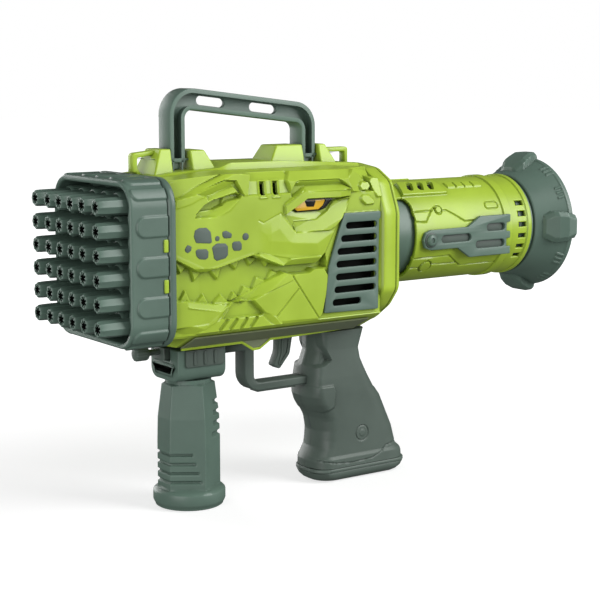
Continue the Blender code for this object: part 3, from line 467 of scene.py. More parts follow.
# ---------------------------------------------------------------- body sides
# Each facet is an (x, z) outline and its height beside the flat side, level or sloping.
FACETS = (
    # snout ridge
    (((45.3, 33.1), (60.4, 39.6), (77.1, 46), (91.9, 45.5), (90.5, 33.4), (87.6, 33.4), (82.4, 41.7),
      (74.8, 42), (60.8, 37.3), (58.1, 35.6)), ramp((68, 39.6), (66.5, 43), 0.3, -4.2)),
    (((44.8, 28.3), (54.7, 30.5), (60.9, 33.4), (64.9, 33.8), (58.1, 35.6), (45.3, 33.1)), 0.3),
    (((58.1, 35.6), (60.8, 37.3), (74.8, 42), (82.4, 41.7), (87.6, 33.4), (83.6, 35.5), (80.9, 39.1),
      (64.9, 33.8)), ramp((74.5, 42), (76, 38), 0.6, -1.8)),
    (((64.9, 33.8), (80.9, 39.1), (83.6, 35.5), (65.2, 32)), ramp((73, 37), (74.5, 33.6), -1.8, 0.9)),
    # nostril hollow with its lip
    (((57.9, 24.9), (63.2, 29.6), (69.1, 32.1), (76.2, 33.4), (83.3, 34.4), (86, 33.8), (84.9, 32.3),
      (77.3, 30.8), (74.5, 28.6), (69.1, 26.6), (60.5, 26.1)), -4.6),
    (((76.2, 33.4), (83.3, 34.4), (86, 33.8), (84.9, 32.3), (77.3, 30.8), (74.5, 28.6)), -3.2),
    (((57.3, 23.3), (60.5, 26.1), (69.1, 26.6), (74.5, 28.6), (77.3, 30.8), (84.9, 32.3), (85.8, 32.7),
      (78.9, 25.9), (71.2, 23.1)), ramp((72, 28), (74.5, 24.4), -2.6, 0.3)),
    # brow
    (((116, 40.8), (120.5, 45.5), (162.7, 45.3), (171.4, 38.6), (166.6, 31.7), (161.9, 31.9), (160, 33.9),
      (155.2, 37.6), (150.8, 39.8), (125.7, 39.8), (122.1, 39.5), (118.4, 33.9)),
     ramp((140, 39.8), (140, 45.5), 0.6, -5.4)),
    (((162.7, 45.3), (171.4, 38.6), (166.6, 31.7), (161.9, 31.9), (155.2, 37.6)),
     ramp((160, 35), (169, 41), 0.6, -3.4)),
    (((118.4, 33.9), (122.1, 39.5), (125.7, 39.8), (150.8, 39.8), (155.2, 37.6), (160, 33.9), (154.6, 37.2),
      (128.7, 37), (119.5, 30.8)), ramp((140, 39.8), (140, 37.2), 0.6, -1.8)),
    (((114, 27.6), (128.7, 37), (154.6, 37.2), (160, 33.7), (151.3, 33.4), (129.7, 33.6), (127.5, 35),
      (113.9, 26.6)), ramp((140, 37.2), (140, 33.6), -1.8, 1.9)),
    (((113.9, 26.6), (127.5, 35), (129.7, 33.6), (151.3, 33.4), (158.5, 33.9), (158.8, 29.8), (151.3, 29.4),
      (128.8, 29.7), (127, 28.6), (114.4, 21.6)), ramp((151.3, 31), (158.8, 31), 1.9, -0.2)),
    # eye socket and lids
    (((114.4, 21.6), (127, 28.6), (128.8, 29.7), (151.3, 29.4), (158.8, 29.8), (148.8, 27.5), (144.8, 22.5),
      (136.8, 17.9), (120.7, 18), (121.3, 12.8)), ramp((134, 22.6), (133, 18), -3.0, -1.6)),
    (((114.7, 21.6), (120.7, 18), (121.3, 12.8)), -1.6),
    (((120.7, 18), (136.8, 17.9), (144.8, 22.5), (148.8, 27.5), (159.5, 28.8), (155.2, 19.9), (148.9, 13.7),
      (144.6, 11.5), (122.3, 11.5)), ramp((139, 20.6), (142, 13.6), -2.0, 1.5)),
    # panel above the vent
    (((160, 32.3), (183, 32), (183, 20.5), (156, 20.5), (159.5, 28.8)), -0.9),
    (((166, 35.4), (167.9, 37.6), (172.4, 37.5), (173.7, 35.1), (171.5, 32.7), (167.3, 32.8)),
     ramp((170, 32.8), (170, 37.6), 0.6, -0.6)),
    (((174.7, 37.4), (176.2, 39.6), (181.4, 39.4), (183.1, 36.3), (183.8, 28.8), (179, 28.5), (176, 33)),
     ramp((180, 28.6), (180, 39.5), 0.6, -3.4)),
    (((167.1, 28.9), (168.7, 30.4), (172.5, 30), (176.5, 26.5), (176.2, 24.7), (170.4, 24.5), (167.4, 27.2)),
     ramp((172, 24.6), (172, 30.2), 0.7, 0.2)),
    (((154.8, 20.4), (183, 20.4), (183, -38), (138, -38), (136, -6.6), (139.4, -3.3), (141.9, -0.9),
      (149, 11.7)), -0.9),
    # upper lip
    (((45.2, 3.9), (62.1, -4), (65.7, -4.3), (95, 2.6), (93.5, 0.6), (64.9, -6.4), (59.2, -6), (45.2, 1.2)),
     ramp((64, -4.2), (63.9, -6.6), 0.1, -2.2)),
    (((97.6, 1.6), (117.8, -2.5), (113.4, -6.7), (94, 0.6)), ramp((107, -0.3), (104.5, -4), -0.4, 1.9)),
    (((117.8, -2.5), (139.1, -2.8), (136, -6.6), (113.6, -6.7)), ramp((128, -2.6), (128, -6.7), 1.5, -1.6)),
    # lower jaw
    (((44.1, -35), (64.7, -34.2), (70.6, -30.4), (66, -35), (61.1, -37.6), (54.6, -40.1), (40.5, -40.5)),
     ramp((56, -34.6), (54, -40), 0.3, -2.5)),
    (((52, -20.7), (69.9, -24.1), (81.6, -24.2), (74.2, -28.3), (52.3, -24.7)),
     ramp((66, -22.6), (65, -27), -2.9, 0.5)),
    (((85.3, -22), (114, -9.8), (119.8, -11.5), (119.4, -15), (93.5, -23.3), (90.5, -24)),
     ramp((101, -15.5), (104, -19.6), -3.0, 0.9)),
    (((81.6, -23.9), (90.5, -23.7), (94.2, -24.4), (101, -31.3), (99.5, -32.4), (74.2, -32.3)), -2.4),
    (((81.6, -23.9), (74.2, -28.3), (66, -35), (73.5, -31.9)), ramp((72, -28), (77, -31), 0.4, -2.4)),
    (((93.5, -23.3), (119.4, -15), (119.8, -11.5), (131.1, -11), (133.9, -9.3), (140.6, -9.2), (143.9, -13.9),
      (143.1, -22.7), (140, -35.5), (135.2, -40.3), (113.3, -40.1), (107.9, -33.8), (101, -31.3),
      (94.2, -24.4)), 0.5),
    (((111.7, -36.8), (138, -38), (135.2, -40.3), (113.3, -40.1)), ramp((125, -37), (125, -40.2), 0.5, -1.2)),
    (((99.5, -32.4), (101, -31.3), (107.9, -33.8), (113.3, -40.1), (105.6, -38.1)),
     ramp((107, -34), (104, -37), 0.6, -1.0)),
)
MOUTH = ((40, 3.6), (45.2, 1.2), (59.2, -6), (64.9, -6.4), (93.5, 0.6), (113.2, -6.7), (136, -6.8),
         (142.2, -1.8), (143.5, -9.2), (133.9, -9.3), (131.1, -11), (119.8, -11.5), (114, -9.8),
         (85.3, -22), (81.6, -23.9), (69.9, -24.1), (52, -20.7), (40, -20))
MOUTH_DEPTH = ramp((43, 0), (62, 0), -3.3, -5.2)     # shallower where the duct's flange is behind it
TOOTH_DEPTH = ramp((43, 0), (62, 0), -1.7, -3.5)
TEETH = (
    ((44.5, 1.6), (46.9, -2.9), (48.6, -6.4), (52.9, -2.5)), ((55, -3.4), (57.8, -11.1), (62.5, -6.3)),
    ((67.5, -5.6), (72.9, -11.4), (75.5, -4)), ((79.9, -2.6), (84.7, -6.8), (86.6, -1.4)),
    ((90.3, 0.4), (93.6, -5.2), (98.5, -1.2)), ((101.9, -2.1), (104.2, -6.6), (106.9, -3.6)),
    ((48.1, -20.8), (52.1, -15), (55.2, -21.4)), ((59.5, -22.4), (63.8, -18.2), (67, -24)),
    ((69.2, -24.1), (74.7, -19.4), (79.8, -24)), ((79.8, -23.8), (82.8, -18.5), (86.1, -22)),
    ((86.1, -21.7), (89.5, -15.9), (94.7, -18.4)), ((94.7, -18.1), (97.8, -11.5), (104.2, -14.4)),
    ((104.2, -14.1), (107.6, -8.6), (112.6, -10.6)),
)
JAW_SLOTS = (((76.7, -33.3), (72.2, -37.9)), ((82.9, -33.3), (78.8, -37.9)), ((89.3, -33.5), (85.5, -38.2)),
             ((96, -33.5), (92.2, -37.9)))
JAW_SEAMS = (((119.4, -12.4), (137.6, -37.9)), ((123.7, -19.8), (109, -34)))
CHEEK = ((94, 17), (100.5, 18), (111.9, 22.8), (121.5, 12.3), (148.9, 11), (139, -2.6), (97.6, 1.6))
CHEEK_CREASE = ((97.1, 19.6), (100.5, 18), (111.9, 22.8), (121.5, 12.3))
SNOUT_TOP = ((40, 30.8), (60.4, 39.6), (77.1, 46), (92, 47), (92, 50), (40, 50))
SPOTS = (
    ((55.9, 13.6), (56.7, 16.8), (59.4, 17.8), (63.7, 17.7), (66.3, 15.3), (67.1, 9.7), (65.8, 9.2),
     (57.2, 10)),
    ((73.6, 14.9), (76.1, 15.4), (79.6, 13.6), (79.4, 11.3), (75, 11.3), (73.8, 12.6)),
    ((50.3, 7.2), (51.9, 9.4), (54.5, 8.3), (54, 6), (52.1, 4.9), (50.6, 5.8)),
    ((56.8, 5.8), (58.3, 6.6), (63.6, 6.3), (64.9, 4.8), (64.6, 1.6), (63, 0.8), (59.3, 1.2), (57.4, 3)),
    ((67.1, 7), (70.1, 8.9), (75.5, 8.6), (77.1, 6.8), (77.1, 2.2), (75.5, 0.6), (70, -0.4), (68.4, 0.9)),
    ((79.9, 8.5), (81, 9.2), (84.8, 9.2), (85.9, 7.6), (85.9, 4.8), (84.8, 4.1), (81, 4.2), (79.9, 6.1)),
)
ROUND_SPOTS = ((70.5, 11.5, 1.4), (88.5, 11.4, 2.0))
SPOT_LAYER = 38.3, 38.95
SLOT_X, SLOT_WIDTH, SLOT_Z = (98.8, 107.3), 2.8, (32.8, 40.2)
SIDE_Y, SIDE_LOW = 38.7, -38.6       # the flat side and where it ends below
BODY_FRONT, BODY_BACK = 42.3, 181.6
FACET_EDGE = 13            # degrees between two planes of the face that leave a crisp edge
VENT_OPENING = ((153.5, 17), (178.8, 17), (178.8, -32.6), (144.4, -32.6), (146.8, -2))
TRIGGER_OPENING = (131.5, 152.5, 4.2, -40)       # from, to, half the width, below


def shoulder_line(x):
    return np.interp(x, (42, 75, 160, 181), (42.5, 45.4, 45.2, 42.8))


def side_height(x, z):
    """Height of the moulded face beside the flat side."""
    upright = np.interp(x, (160, 181), (33.4, 26))
    lean = np.interp(x, (160, 181), (-7.2, -15.2))
    h = lean * np.clip((z - upright) / (shoulder_line(x) - upright), 0, 1)
    h = paint(h, x, z, SNOUT_TOP, lambda u, v: -3 - 4.2 * np.clip((v - 33 - 0.43 * (u - 45)) / 8, 0, 1))
    panel = np.interp(z, (33.2, 34, 40.8, 43.6, 45.2), (0, -1.4, -2.3, -5.4, -7.2))
    h = np.where((x > 90.6) & (x < 118) & (z > 33.2), panel, h)
    fade = np.clip((x - 97) / 8, 0, 1)
    h += 0.9 * fade * np.clip(depth_inside(x, z, CHEEK) / 7, 0, 1) * (z < 33)
    for outline, target in FACETS:
        h = paint(h, x, z, outline, target)
    h = groove(h, x, z, CHEEK_CREASE, 0.15, 0.45, 0.9)
    for line in JAW_SEAMS:
        h = groove(h, x, z, line, 0.35, 0.6)
    for line in JAW_SLOTS:
        h = groove(h, x, z, line, 0.9, 1.3)
    h = paint(h, x, z, MOUTH, MOUTH_DEPTH)
    in_mouth = depth_inside(x, z, MOUTH) > 0.1
    for outline in TEETH:
        h = np.where(in_mouth, paint(h, x, z, rounded(outline, 0.5), TOOTH_DEPTH, 0.9), h)
    low, high = SLOT_Z[0] - 1, SLOT_Z[1] + 0.8
    for slot in SLOT_X:
        left, right = slot - 0.9, slot + SLOT_WIDTH + 0.9
        rim = ((left, low), (left, high), (right, high), (right, low), (left, low))
        h = groove(h, x, z, rim, 0.45, -0.6)
    return h


def make_body():
    x = np.linspace(BODY_FRONT, BODY_BACK, int((BODY_BACK - BODY_FRONT) / STEP))
    shoulder = shoulder_line(x)
    crest = np.interp(x, (42, 57, 86, 94, 130, 180), (43.8, 45.8, 47.2, 49.8, 49.6, 46.8))
    shelf = np.interp(x, (42, 75, 160, 180), (43.2, 46.2, 46.2, 45.0))
    bottom = np.interp(x, (42, 54.6, 55.4, 182), (-44, -45, -50, -50))
    outer = SIDE_Y + side_height(x, shoulder)
    rows = []
    for y in (*np.linspace(SEAM, 15.5, 14), *np.linspace(16, 18, 6), *np.linspace(19, 30, 14)):
        top = np.where(y <= 16, crest, np.interp(y, (16, 17.6), (0, 1)) * (shelf - crest) + crest)
        droop = np.clip((y - 24) / 7.5, 0, 1) * (shoulder - shelf)
        rows.append(row(x, np.minimum(y, outer - 0.3), top + droop))
    for t in np.linspace(1, 0, int((45 - SIDE_LOW) / STEP)):
        z = SIDE_LOW + t * (shoulder - SIDE_LOW)
        rows.append(row(x, SIDE_Y + side_height(x, z), z))
    foot = SIDE_Y + side_height(x, np.full_like(x, SIDE_LOW))
    (chine_y, chine_z), (keel_y, keel_rise) = (35.2, -41.0), (19.7, 1.2)
    for y, z in ((36.9, -39.8), (chine_y, chine_z)):
        rows.append(row(x, np.minimum(y, foot - 0.2), z))
    for t in np.linspace(0, 1, 14)[1:]:
        y = chine_y + t * (keel_y - chine_y)
        rows.append(row(x, np.minimum(y, foot - 0.4), chine_z + t * (bottom + keel_rise - chine_z)))
    for y in np.linspace(17, SEAM, 8):
        rows.append(row(x, y, bottom + keel_rise * y / keel_y))
    field = np.array(rows)
    middles = (field[:-1, :-1] + field[1:, 1:]) / 2
    cx, cy, cz = middles[..., 0], middles[..., 1], middles[..., 2]
    on_face = cy > 30
    keep = ~((depth_inside(cx, cz, VENT_OPENING) > 0) & on_face)
    for left in SLOT_X:
        in_slot = (cx > left) & (cx < left + SLOT_WIDTH) & (cz > SLOT_Z[0]) & (cz < SLOT_Z[1])
        keep &= ~(in_slot & (cy > 25))
    trigger_front, trigger_back, half_width, height = TRIGGER_OPENING
    keep &= ~((cx > trigger_front) & (cx < trigger_back) & (cy < half_width) & (cz < height))
    skin_both("body_shell", field, GREEN, keep=keep, wall=WALL, sharp=FACET_EDGE)


COLLAR = ((SEAM, 46), (4, 46), (21.3, 44), (34, 37), (41, 20), (41.2, 12), (41.2, -8), (41.1, -25.7),
          (33, -36), (20, -45.2), (4, -51.2), (SEAM, -51.2))
# places along the collar and how far each is below the outline
COLLAR_STEPS = ((179.0, 3.2), (181.0, 2.2), (181.9, 1.9), (182.1, 0.4), (182.6, 0.1), (184, 0), (190.3, 0),
                (190.5, 0.2), (190.7, 0.9), (191.5, 0.9), (191.7, 0.2), (192.4, 0.1), (193.4, 0.5),
                (194.3, 1.5))
COLLAR_MOUTH, COLLAR_SMOOTHING = 29.3, 5


def make_collar():
    """The shell's end, which closes on the barrel's mouth."""
    loop = evenly(COLLAR, count=150)
    for _ in range(COLLAR_SMOOTHING):
        loop[1:-1] = (loop[:-2] + 2 * loop[1:-1] + loop[2:]) / 4
    from_middle = loop - (0, BARREL_Z)
    reach = np.hypot(*from_middle.T)
    spoke = from_middle / reach[:, None]
    columns = [row(px, *(loop - spoke * drop).T) for px, drop in COLLAR_STEPS]
    for share, px in ((0.15, 194.8), (0.4, 195.1), (0.7, 195.3), (0.95, 195.3), (1, 195.2), (1, 192.5),
                      (1, 189)):
        radius = (reach - 1.5) * (1 - share) + COLLAR_MOUTH * share
        columns.append(row(px, *((0, BARREL_Z) + spoke * radius[:, None]).T))
    skin_both("body_collar", np.array(columns).transpose(1, 0, 2), GREEN, stands_for=False)


def make_face_details():
    eye = ((121.1, 24.8), (128, 28.6), (142.7, 28.9), (140.9, 25.6), (137.8, 23.5), (123.5, 23.2))
    rim = ((120.2, 24.9), (127.8, 29.2), (148.4, 29.3), (143.2, 24.0), (138.9, 22.7), (123.2, 22.5))
    pupil = ((128.4, 28.6), (135.9, 28.6), (134.6, 25.1), (129.8, 25.3))
    corner = ((143.2, 28.8), (147.6, 28.9), (143.0, 24.6), (138.6, 23.3))
    both("eye", rounded(eye, 0.5), 35.6, 37.7, AMBER, replaces="eye", edge=0.3)
    both("eye_rim", rounded(rim, 0.5), 35.4, 37.3, PUPIL, edge=0.25)
    both("eye_pupil", rounded(pupil, 0.4), 37.3, 37.95, PUPIL, edge=0.2)
    both("eye_corner", rounded(corner, 0.3), 37.0, 37.7, PUPIL, edge=0.2)
    for i, outline in enumerate(SPOTS):
        both(f"cheek_spot_{i + 1}", rounded(outline, 0.9), *SPOT_LAYER, SPOT, edge=0.2)
    for i, (x, z, radius) in enumerate(ROUND_SPOTS):
        both(f"cheek_dot_{i + 1}", circle(x, z, radius, 20), *SPOT_LAYER, SPOT, edge=0.2)


# ---------------------------------------------------------------- vent, towers and trims
VENT_SLOTS = ((155.8, 178.0), (152.4, 178.0), (149.9, 177.9), (149.2, 177.8), (148.9, 177.7),
              (147.9, 177.3), (146.6, 167.0))
VENT_TOP, VENT_PITCH, VENT_HALF = 13.3, 7.2, 1.9
VENT_PANEL = ((154.5, 20.4), (180.6, 20.4), (180.6, 16.4), (179.4, 15.8), (179.2, -36.0), (141, -35.2),
              (143.5, -14), (144.2, -9), (146.5, -2))
# outline of a near-black sheet behind the vent's slots: painted shade
VENT_SHADE_SHEET = ((150, 18), (179.4, 18), (179.4, -33.4), (143.5, -33.4), (146, -6))
# each tower's ends at its base, its ends at the top and its height
TOWERS = (((48.0, 60.2), (54.0, 60.6), 58.0), ((72.8, 89.0), (72.8, 82.0), 57.0),
          ((121.5, 147.8), (130.0, 147.8), 58.0), ((159.2, 172.0), (159.2, 164.0), 58.0))
TOWER_BASE_Z, TOWER_BASE_HALF, TOWER_TOP_HALF = 44.0, 11.8, 8.0
STRAP_HALF = 2.8
STRAP_REAR = ((164, 45, 0), (164, 55.5, 2), (184.5, 55.5, 1.6), (184.5, 44.4, 0), (182, 44.4, 0),
              (182, 52.8, 1), (168, 52.8, 1.5), (168, 45, 0))
STRAP_FRONT = ((56, 57.5, 0), (40, 56, 2), (40, 45.6, 1), (42.4, 45.4, 0.4), (42.4, 42.7, 0), (47, 43, 0),
               (43, 47.8, 0.6), (43, 53.5, 1), (56, 55, 0))
TRIM_STATIONS = ((58.0, -50.5), (75, -50.5), (97.1, -50.5), (104.5, -55.2), (109.0, -55.0), (116.2, -50.5),
                 (145, -50.0), (175.0, -49.0))


def make_side_parts():
    slots = [slot_outline(((a + b) / 2, VENT_TOP - VENT_PITCH * i), (b - a) / 2, VENT_HALF)
             for i, (a, b) in enumerate(VENT_SLOTS)]
    both("vent_panel", rounded(VENT_PANEL, 0.8), 38.0, 39.6, GREY, holes=slots, edge=0.35,
         replaces="vent_panel")
    # Painted shade: a near-black sheet behind the vent's slots.
    both("vent_shade_sheet", VENT_SHADE_SHEET, 31.4, 32.2, PAINTED_SHADE_BLACK, edge=0.1)
    for i, (base, top, height) in enumerate(TOWERS):
        loops = []
        for (p, q), half, z in ((base, TOWER_BASE_HALF, TOWER_BASE_Z), (top, TOWER_TOP_HALF, height)):
            loops.append([(p, -half, z), (q, -half, z), (q, half, z), (p, half, z)])
        soften(loft(f"handle_tower_{i + 1}", loops, GREEN, sharp=0), 0.8)
    for name, corners in (("rear", STRAP_REAR), ("front", STRAP_FRONT)):
        plate("strap_loop_" + name, filleted(corners), -STRAP_HALF, STRAP_HALF, GREEN, edge=0.7)
    for label, side in SIDES.items():
        face, edge = [], []
        for x, low in TRIM_STATIONS:
            section = ((35.2, -41.3), (19.8, -49.3), (19.8, low + 0.9), (21.4, low + 0.9), (21.4, -49.5),
                       (36.2, -41.9))
            rim = ((20.2, low - 0.2), (21.6, low - 0.2), (21.9, low + 1.4), (20.4, low + 1.2))
            face.append([(x, side * y, z) for y, z in section])
            edge.append([(x, side * y, z) for y, z in rim])
        soften(loft("lower_trim_" + label, face, STRIP, replaces="lower_trim_" + label, sharp=0), 0.4)
        soften(loft("lower_rim_" + label, edge, GREEN, sharp=0), 0.25)


# ---------------------------------------------------------------- barrel
BARREL_R, BARREL_FRONT, BARREL_BACK = 30.9, 195.8, 307.2
ARC = BARREL_R * pi / 180      # length of one degree round the barrel
PAD = ((211, 47.5), (246, 47.5), (243, 70), (214, 70))
PAD_SLOTS = (221, 229, 237)
PLAQUES, PLAQUE_LENGTH = (250.5, 257.5, 264.5, 271.5), 6.0
ROUND_MARKS = ((234, 28, 2.6), (227, -39.5, 4.2))      # place, degrees round the barrel and radius
BAND, LIP_START = (285, 290.5), 304.4
PAD_HEIGHT, BAND_HEIGHT, LIP_HEIGHT = 1.9, 1.0, 0.8
PANEL_LINES = (
    ((213.8, 27), (228.6, 28), (222.7, 15), (214.7, 16), (213.8, 27)),
    ((228.5, 27), (230.8, 31), (233.8, 30), (237.3, 27), (240.3, 27), (252.9, 13), (261.4, 13)),
    ((215.8, -27), (242.8, -26), (255.5, -43), (291.6, -42)),
    ((216.1, -40), (223.7, -41)), ((230.7, -37), (251.2, -38)))
BARREL_WINDOW = ((190, 46, 0), (212, 46, 3), (214.6, 38, 3), (214.6, -52, 3), (211, -62, 3), (190, -62, 0))
AIR_SLOTS = (-35, -22, -9, 4, 17, 30)      # degrees round the barrel
AIR_SLOT_ENDS, AIR_SLOT_HALF = (296.8, 303.8), 3.1


def degrees_line(points):
    return [(x, angle * ARC) for x, angle in points]


def make_barrel():
    x = np.linspace(BARREL_FRONT, BARREL_BACK, int((BARREL_BACK - BARREL_FRONT) / STEP))
    X, A = np.meshgrid(x, np.linspace(90 - 0.3, -90 + 0.3, 220))
    V = A * ARC
    h = paint(np.zeros_like(X), X, V, degrees_line(PAD), PAD_HEIGHT, 0.6)
    for middle in PAD_SLOTS:
        h = groove(h, X, V, degrees_line(((middle - 1.2, 56.5), (middle + 1.2, 65.5))), 1.7, 3.0)
    for left in PLAQUES:
        right = left + PLAQUE_LENGTH
        h = paint(h, X, V, degrees_line(((left, 57), (right, 57), (right, 67), (left, 67))), BAND_HEIGHT, 0.5)
    for line in PANEL_LINES:
        h = groove(h, X, V, degrees_line(line), 0.45, 0.8)
    for cx, ca, radius in ROUND_MARKS:
        reach = np.hypot(X - cx, V - ca * ARC)
        h -= 0.8 * blend(0.5 - np.abs(reach - radius), 0.5)
        h = np.where(reach < radius - 0.6, 0.5, h)
    pill = distance(X, V, degrees_line(((274, 29.5), (280, 29.5))))
    h -= 0.7 * blend(0.45 - np.abs(pill - 2.2), 0.5)
    h = np.where((X > BAND[0]) & (X < BAND[1]), BAND_HEIGHT, h)
    h = np.where(X > LIP_START, LIP_HEIGHT, h)
    R = BARREL_R + h
    field = np.stack((X, R * np.cos(np.radians(A)), BARREL_Z + R * np.sin(np.radians(A))), -1)
    middle_x = (X[:-1, :-1] + X[1:, 1:]) / 2
    middle_a = (A[:-1, :-1] + A[1:, 1:]) / 2
    window = filleted([(u, v * ARC, r) for u, v, r in BARREL_WINDOW], 5)
    keep = depth_inside(middle_x, middle_a * ARC, window) <= 0
    for a in AIR_SLOTS:
        in_slot = (middle_x > AIR_SLOT_ENDS[0]) & (middle_x < AIR_SLOT_ENDS[1])
        keep &= ~(in_slot & (abs(middle_a - a) < AIR_SLOT_HALF))
    skin_both("barrel_shell", field, GREEN, keep=keep, wall=WALL, sharp=18)
    # Black pieces low in the pad's three slots are painted shade for the dark insides of the holes.
    for label, side in SIDES.items():
        for i, middle in enumerate(PAD_SLOTS):
            corners = [(middle + dx, radians(a)) for dx, a in ((-2.6, 57), (-0.2, 57), (2.6, 66), (0.2, 66))]
            loops = [[(px, side * radius * cos(a), BARREL_Z + radius * sin(a)) for px, a in corners]
                     for radius in (29.4, 31.1)]
            loft(f"pad_slot_shade_{i + 1}_{label}", loops, PUPIL)
    ring = ((186, 26.1), (186, 28.3), (214, 28.3), (218, 28.3), (218, 26.1))
    rib = ((199.5, 28.0), (199.8, 28.9), (201.2, 28.9), (201.5, 28.0))
    turned("barrel_ring", ring, GREY, at=(0, 0, BARREL_Z), count=96, replaces="barrel_ring")
    turned("barrel_inner_rib", rib, GREY, at=(0, 0, BARREL_Z), count=96)


# ---------------------------------------------------------------- bell
BELL_COLUMNS = 480
BELL_LIMIT = 45.0          # half the width of the toy
LUG_START, RIB_BAND = 315.2, (326.5, 330.8)
RIB_PLACES, RIB_HALF, RIB_HEIGHT = (5.8, 9, 12.2), 0.75, 0.7
BELL_NECK = ((300.0, 28.2), (307.2, 28.2), (307.2, 30.3), (307.6, 30.6), (309.3, 30.6), (309.7, 30.2),
             (309.8, 29.4), (310.6, 29.4), (310.8, 31.2), (311.4, 31.8))
BELL_INSIDE = ((334.0, 40.6), (334.0, 39.0), (333.4, 38.4), (330, 36.6), (323, 33.0), (317, 30.2),
               (316.2, 29.6), (316.0, 27.0), (315.2, 26.6), (315.2, 18.0), (316.4, 17.6), (316.4, 15.8),
               (315.2, 15.4), (315.2, 7.0), (316.2, 6.6), (316.4, 0.6))


def make_bell():
    degrees = np.linspace(0, 360, BELL_COLUMNS + 1)[:-1]
    fold = np.abs((degrees + 45) % 90 - 45)      # degrees from the middle of the nearest lug
    cone = []
    for px in np.arange(312.0, 334.01, 0.4):
        radius = np.interp(px, (311.4, 330.5, 331.3, 334), (31.8, 40.3, 41.1, 41.1))
        r = np.full(BELL_COLUMNS, radius)
        arc = radians(1) * radius
        side_gap = fold * arc
        half = np.interp(px, (315, 320, 327, 334), (6.5, 9.2, 8.6, 7.2))
        crest = np.interp(px, (315.2, 316, 322, 327.5, 333.6, 334), (radius, 35.8, 41.8, 44.6, 44.9, 44.4))
        if px >= LUG_START:
            flat = crest / np.cos(np.radians(np.minimum(fold, 20)))
            weight = blend(half - side_gap, 0.7)
            slant = 2.2 * np.clip((side_gap - half + 3.2) / 3.2, 0, 1)
            r = r * (1 - weight) + (flat - slant) * weight
        if RIB_BAND[0] <= px <= RIB_BAND[1]:
            for place in RIB_PLACES:
                rib = blend(RIB_HALF - np.abs((fold - 45) * arc + place), 0.5)
                r = r + RIB_HEIGHT * rib * (side_gap > half + 1)
        cone.append((px, np.minimum(r, BELL_LIMIT)))
    a = np.radians(degrees)
    field = [row(px, r * np.cos(a), BARREL_Z + r * np.sin(a)) for px, r in (*BELL_NECK, *cone, *BELL_INSIDE)]
    skin("bell", np.array(field), GREY, closed=True, sharp=16, replaces="bell")
    boss = ((314.5, 0.3), (314.5, 6.4), (317.2, 5.6), (317.6, 0.3))
    turned("bell_centre_boss", boss, DARK, at=(0, 0, BARREL_Z))


# ---------------------------------------------------------------- head
HEAD_Y, HEAD_Z, HEAD_R = 43.3, 44.0, 14.0      # half the width and height, and the corners


def perimeter(half_u, half_v, radius):
    """Evenly spaced rounded rectangle with the outward direction at each point."""
    outline = round_rect(half_u, half_v, radius, 24)
    loop = evenly(outline + outline[:1])[:-1]
    ahead = np.roll(loop, -1, axis=0) - np.roll(loop, 1, axis=0)
    normal = np.stack((ahead[:, 1], -ahead[:, 0]), -1)
    normal /= np.hypot(*normal.T)[:, None]
    if (normal * loop).sum() < 0:
        normal = -normal
    return loop, normal


# where each raised pad starts and ends across the shroud, and how far forward it reaches
SIDE_PADS = ((34.5, 41.6, 17.2), (15.3, 25.9, 19.2), (-5.6, 4.7, 19.2), (-26.6, -16.3, 19.2),
             (-42, -34, 17.6))
TOP_PADS = ((-36.5, -29.5, 17.4), (-20.5, -10.5, 20.0), (-5.0, 5.0, 20.0), (10.5, 20.5, 20.0),
            (29.5, 36.5, 17.4))
SNAP_TABS = ((6.8, 13.6), (-14.5, -7.4))
PAD_RISE = 0.85
RIM_GROOVE, RIM_DEPTH, RIM_BACK = (37.3, 38.4), 1.5, 42.0
TAB_FRONT, TAB_BACK = 34.9, 37.4
LIP_STEPS = ((41.5, 0), (34.5, 0), (34.4, 0.3), (24, 0.4), (17.2, 0.3), (16.2, 0.1), (15.7, -0.5))


def make_head_shroud():
    loop, normal = perimeter(HEAD_Y, HEAD_Z, HEAD_R)
    X, Y = np.meshgrid(np.arange(15.6, 42.01, 0.4), loop[:, 0], indexing="ij")
    Z = np.broadcast_to(loop[:, 1], X.shape)
    h = np.interp(X, (15.4, 16.0, 16.6, 37.5, 37.7, 42), (-1.3, -0.4, -0.1, -0.1, 0.0, 0.0))
    on_side = np.abs(normal[:, 0]) > 0.72
    for pads, across, mask in ((SIDE_PADS, Z, on_side), (TOP_PADS, Y, ~on_side)):
        for low, high, front in pads:
            turn = min(4.6, (high - low) * 0.48)
            outline = filleted(((front, low, turn), (front, high, turn), (39.4, high, 0), (39.4, low, 0)), 7)
            shape = blend(depth_inside(X, across, outline), 0.5) * mask
            h = h * (1 - shape) + PAD_RISE * shape
    h = np.where((X > RIM_GROOVE[0]) & (X < RIM_GROOVE[1]), -RIM_DEPTH, h)
    h = np.where(X >= RIM_GROOVE[1], np.interp(X, (38.4, 39.4, 41.2, 42), (0.5, 1.0, 1.0, 0.4)), h)
    rows = list(np.stack((X, Y + h * normal[:, 0], Z + h * normal[:, 1]), -1))
    rows.append(row(RIM_BACK, *(loop - 2.6 * normal).T))
    inner_loop = loop - 2.9 * normal
    scallop = 0.5 * np.cos(2 * pi * inner_loop[:, 1] / 12.6) * (np.abs(normal[:, 0]) > 0.9)
    for px, extra in LIP_STEPS:
        ring = inner_loop - (extra + scallop)[:, None] * normal if px < 34.4 else inner_loop
        rows.append(row(px, *ring.T))
    skin("head_shroud", np.array(rows + rows[:1]), GREY, closed=True, replaces="head_shroud")
    u0 = (TAB_BACK + TAB_FRONT) / 2
    for label, side in SIDES.items():
        for i, (low, high) in enumerate(SNAP_TABS):
            shape = round_rect((TAB_BACK - TAB_FRONT) / 2, (high - low) / 2, 0.6, 3)
            outline = [(u + u0, v + (low + high) / 2) for u, v in shape]
            plate(f"snap_tab_{i + 1}_{label}", outline, side * 42.6, side * 44.1, GREEN, edge=0.4)


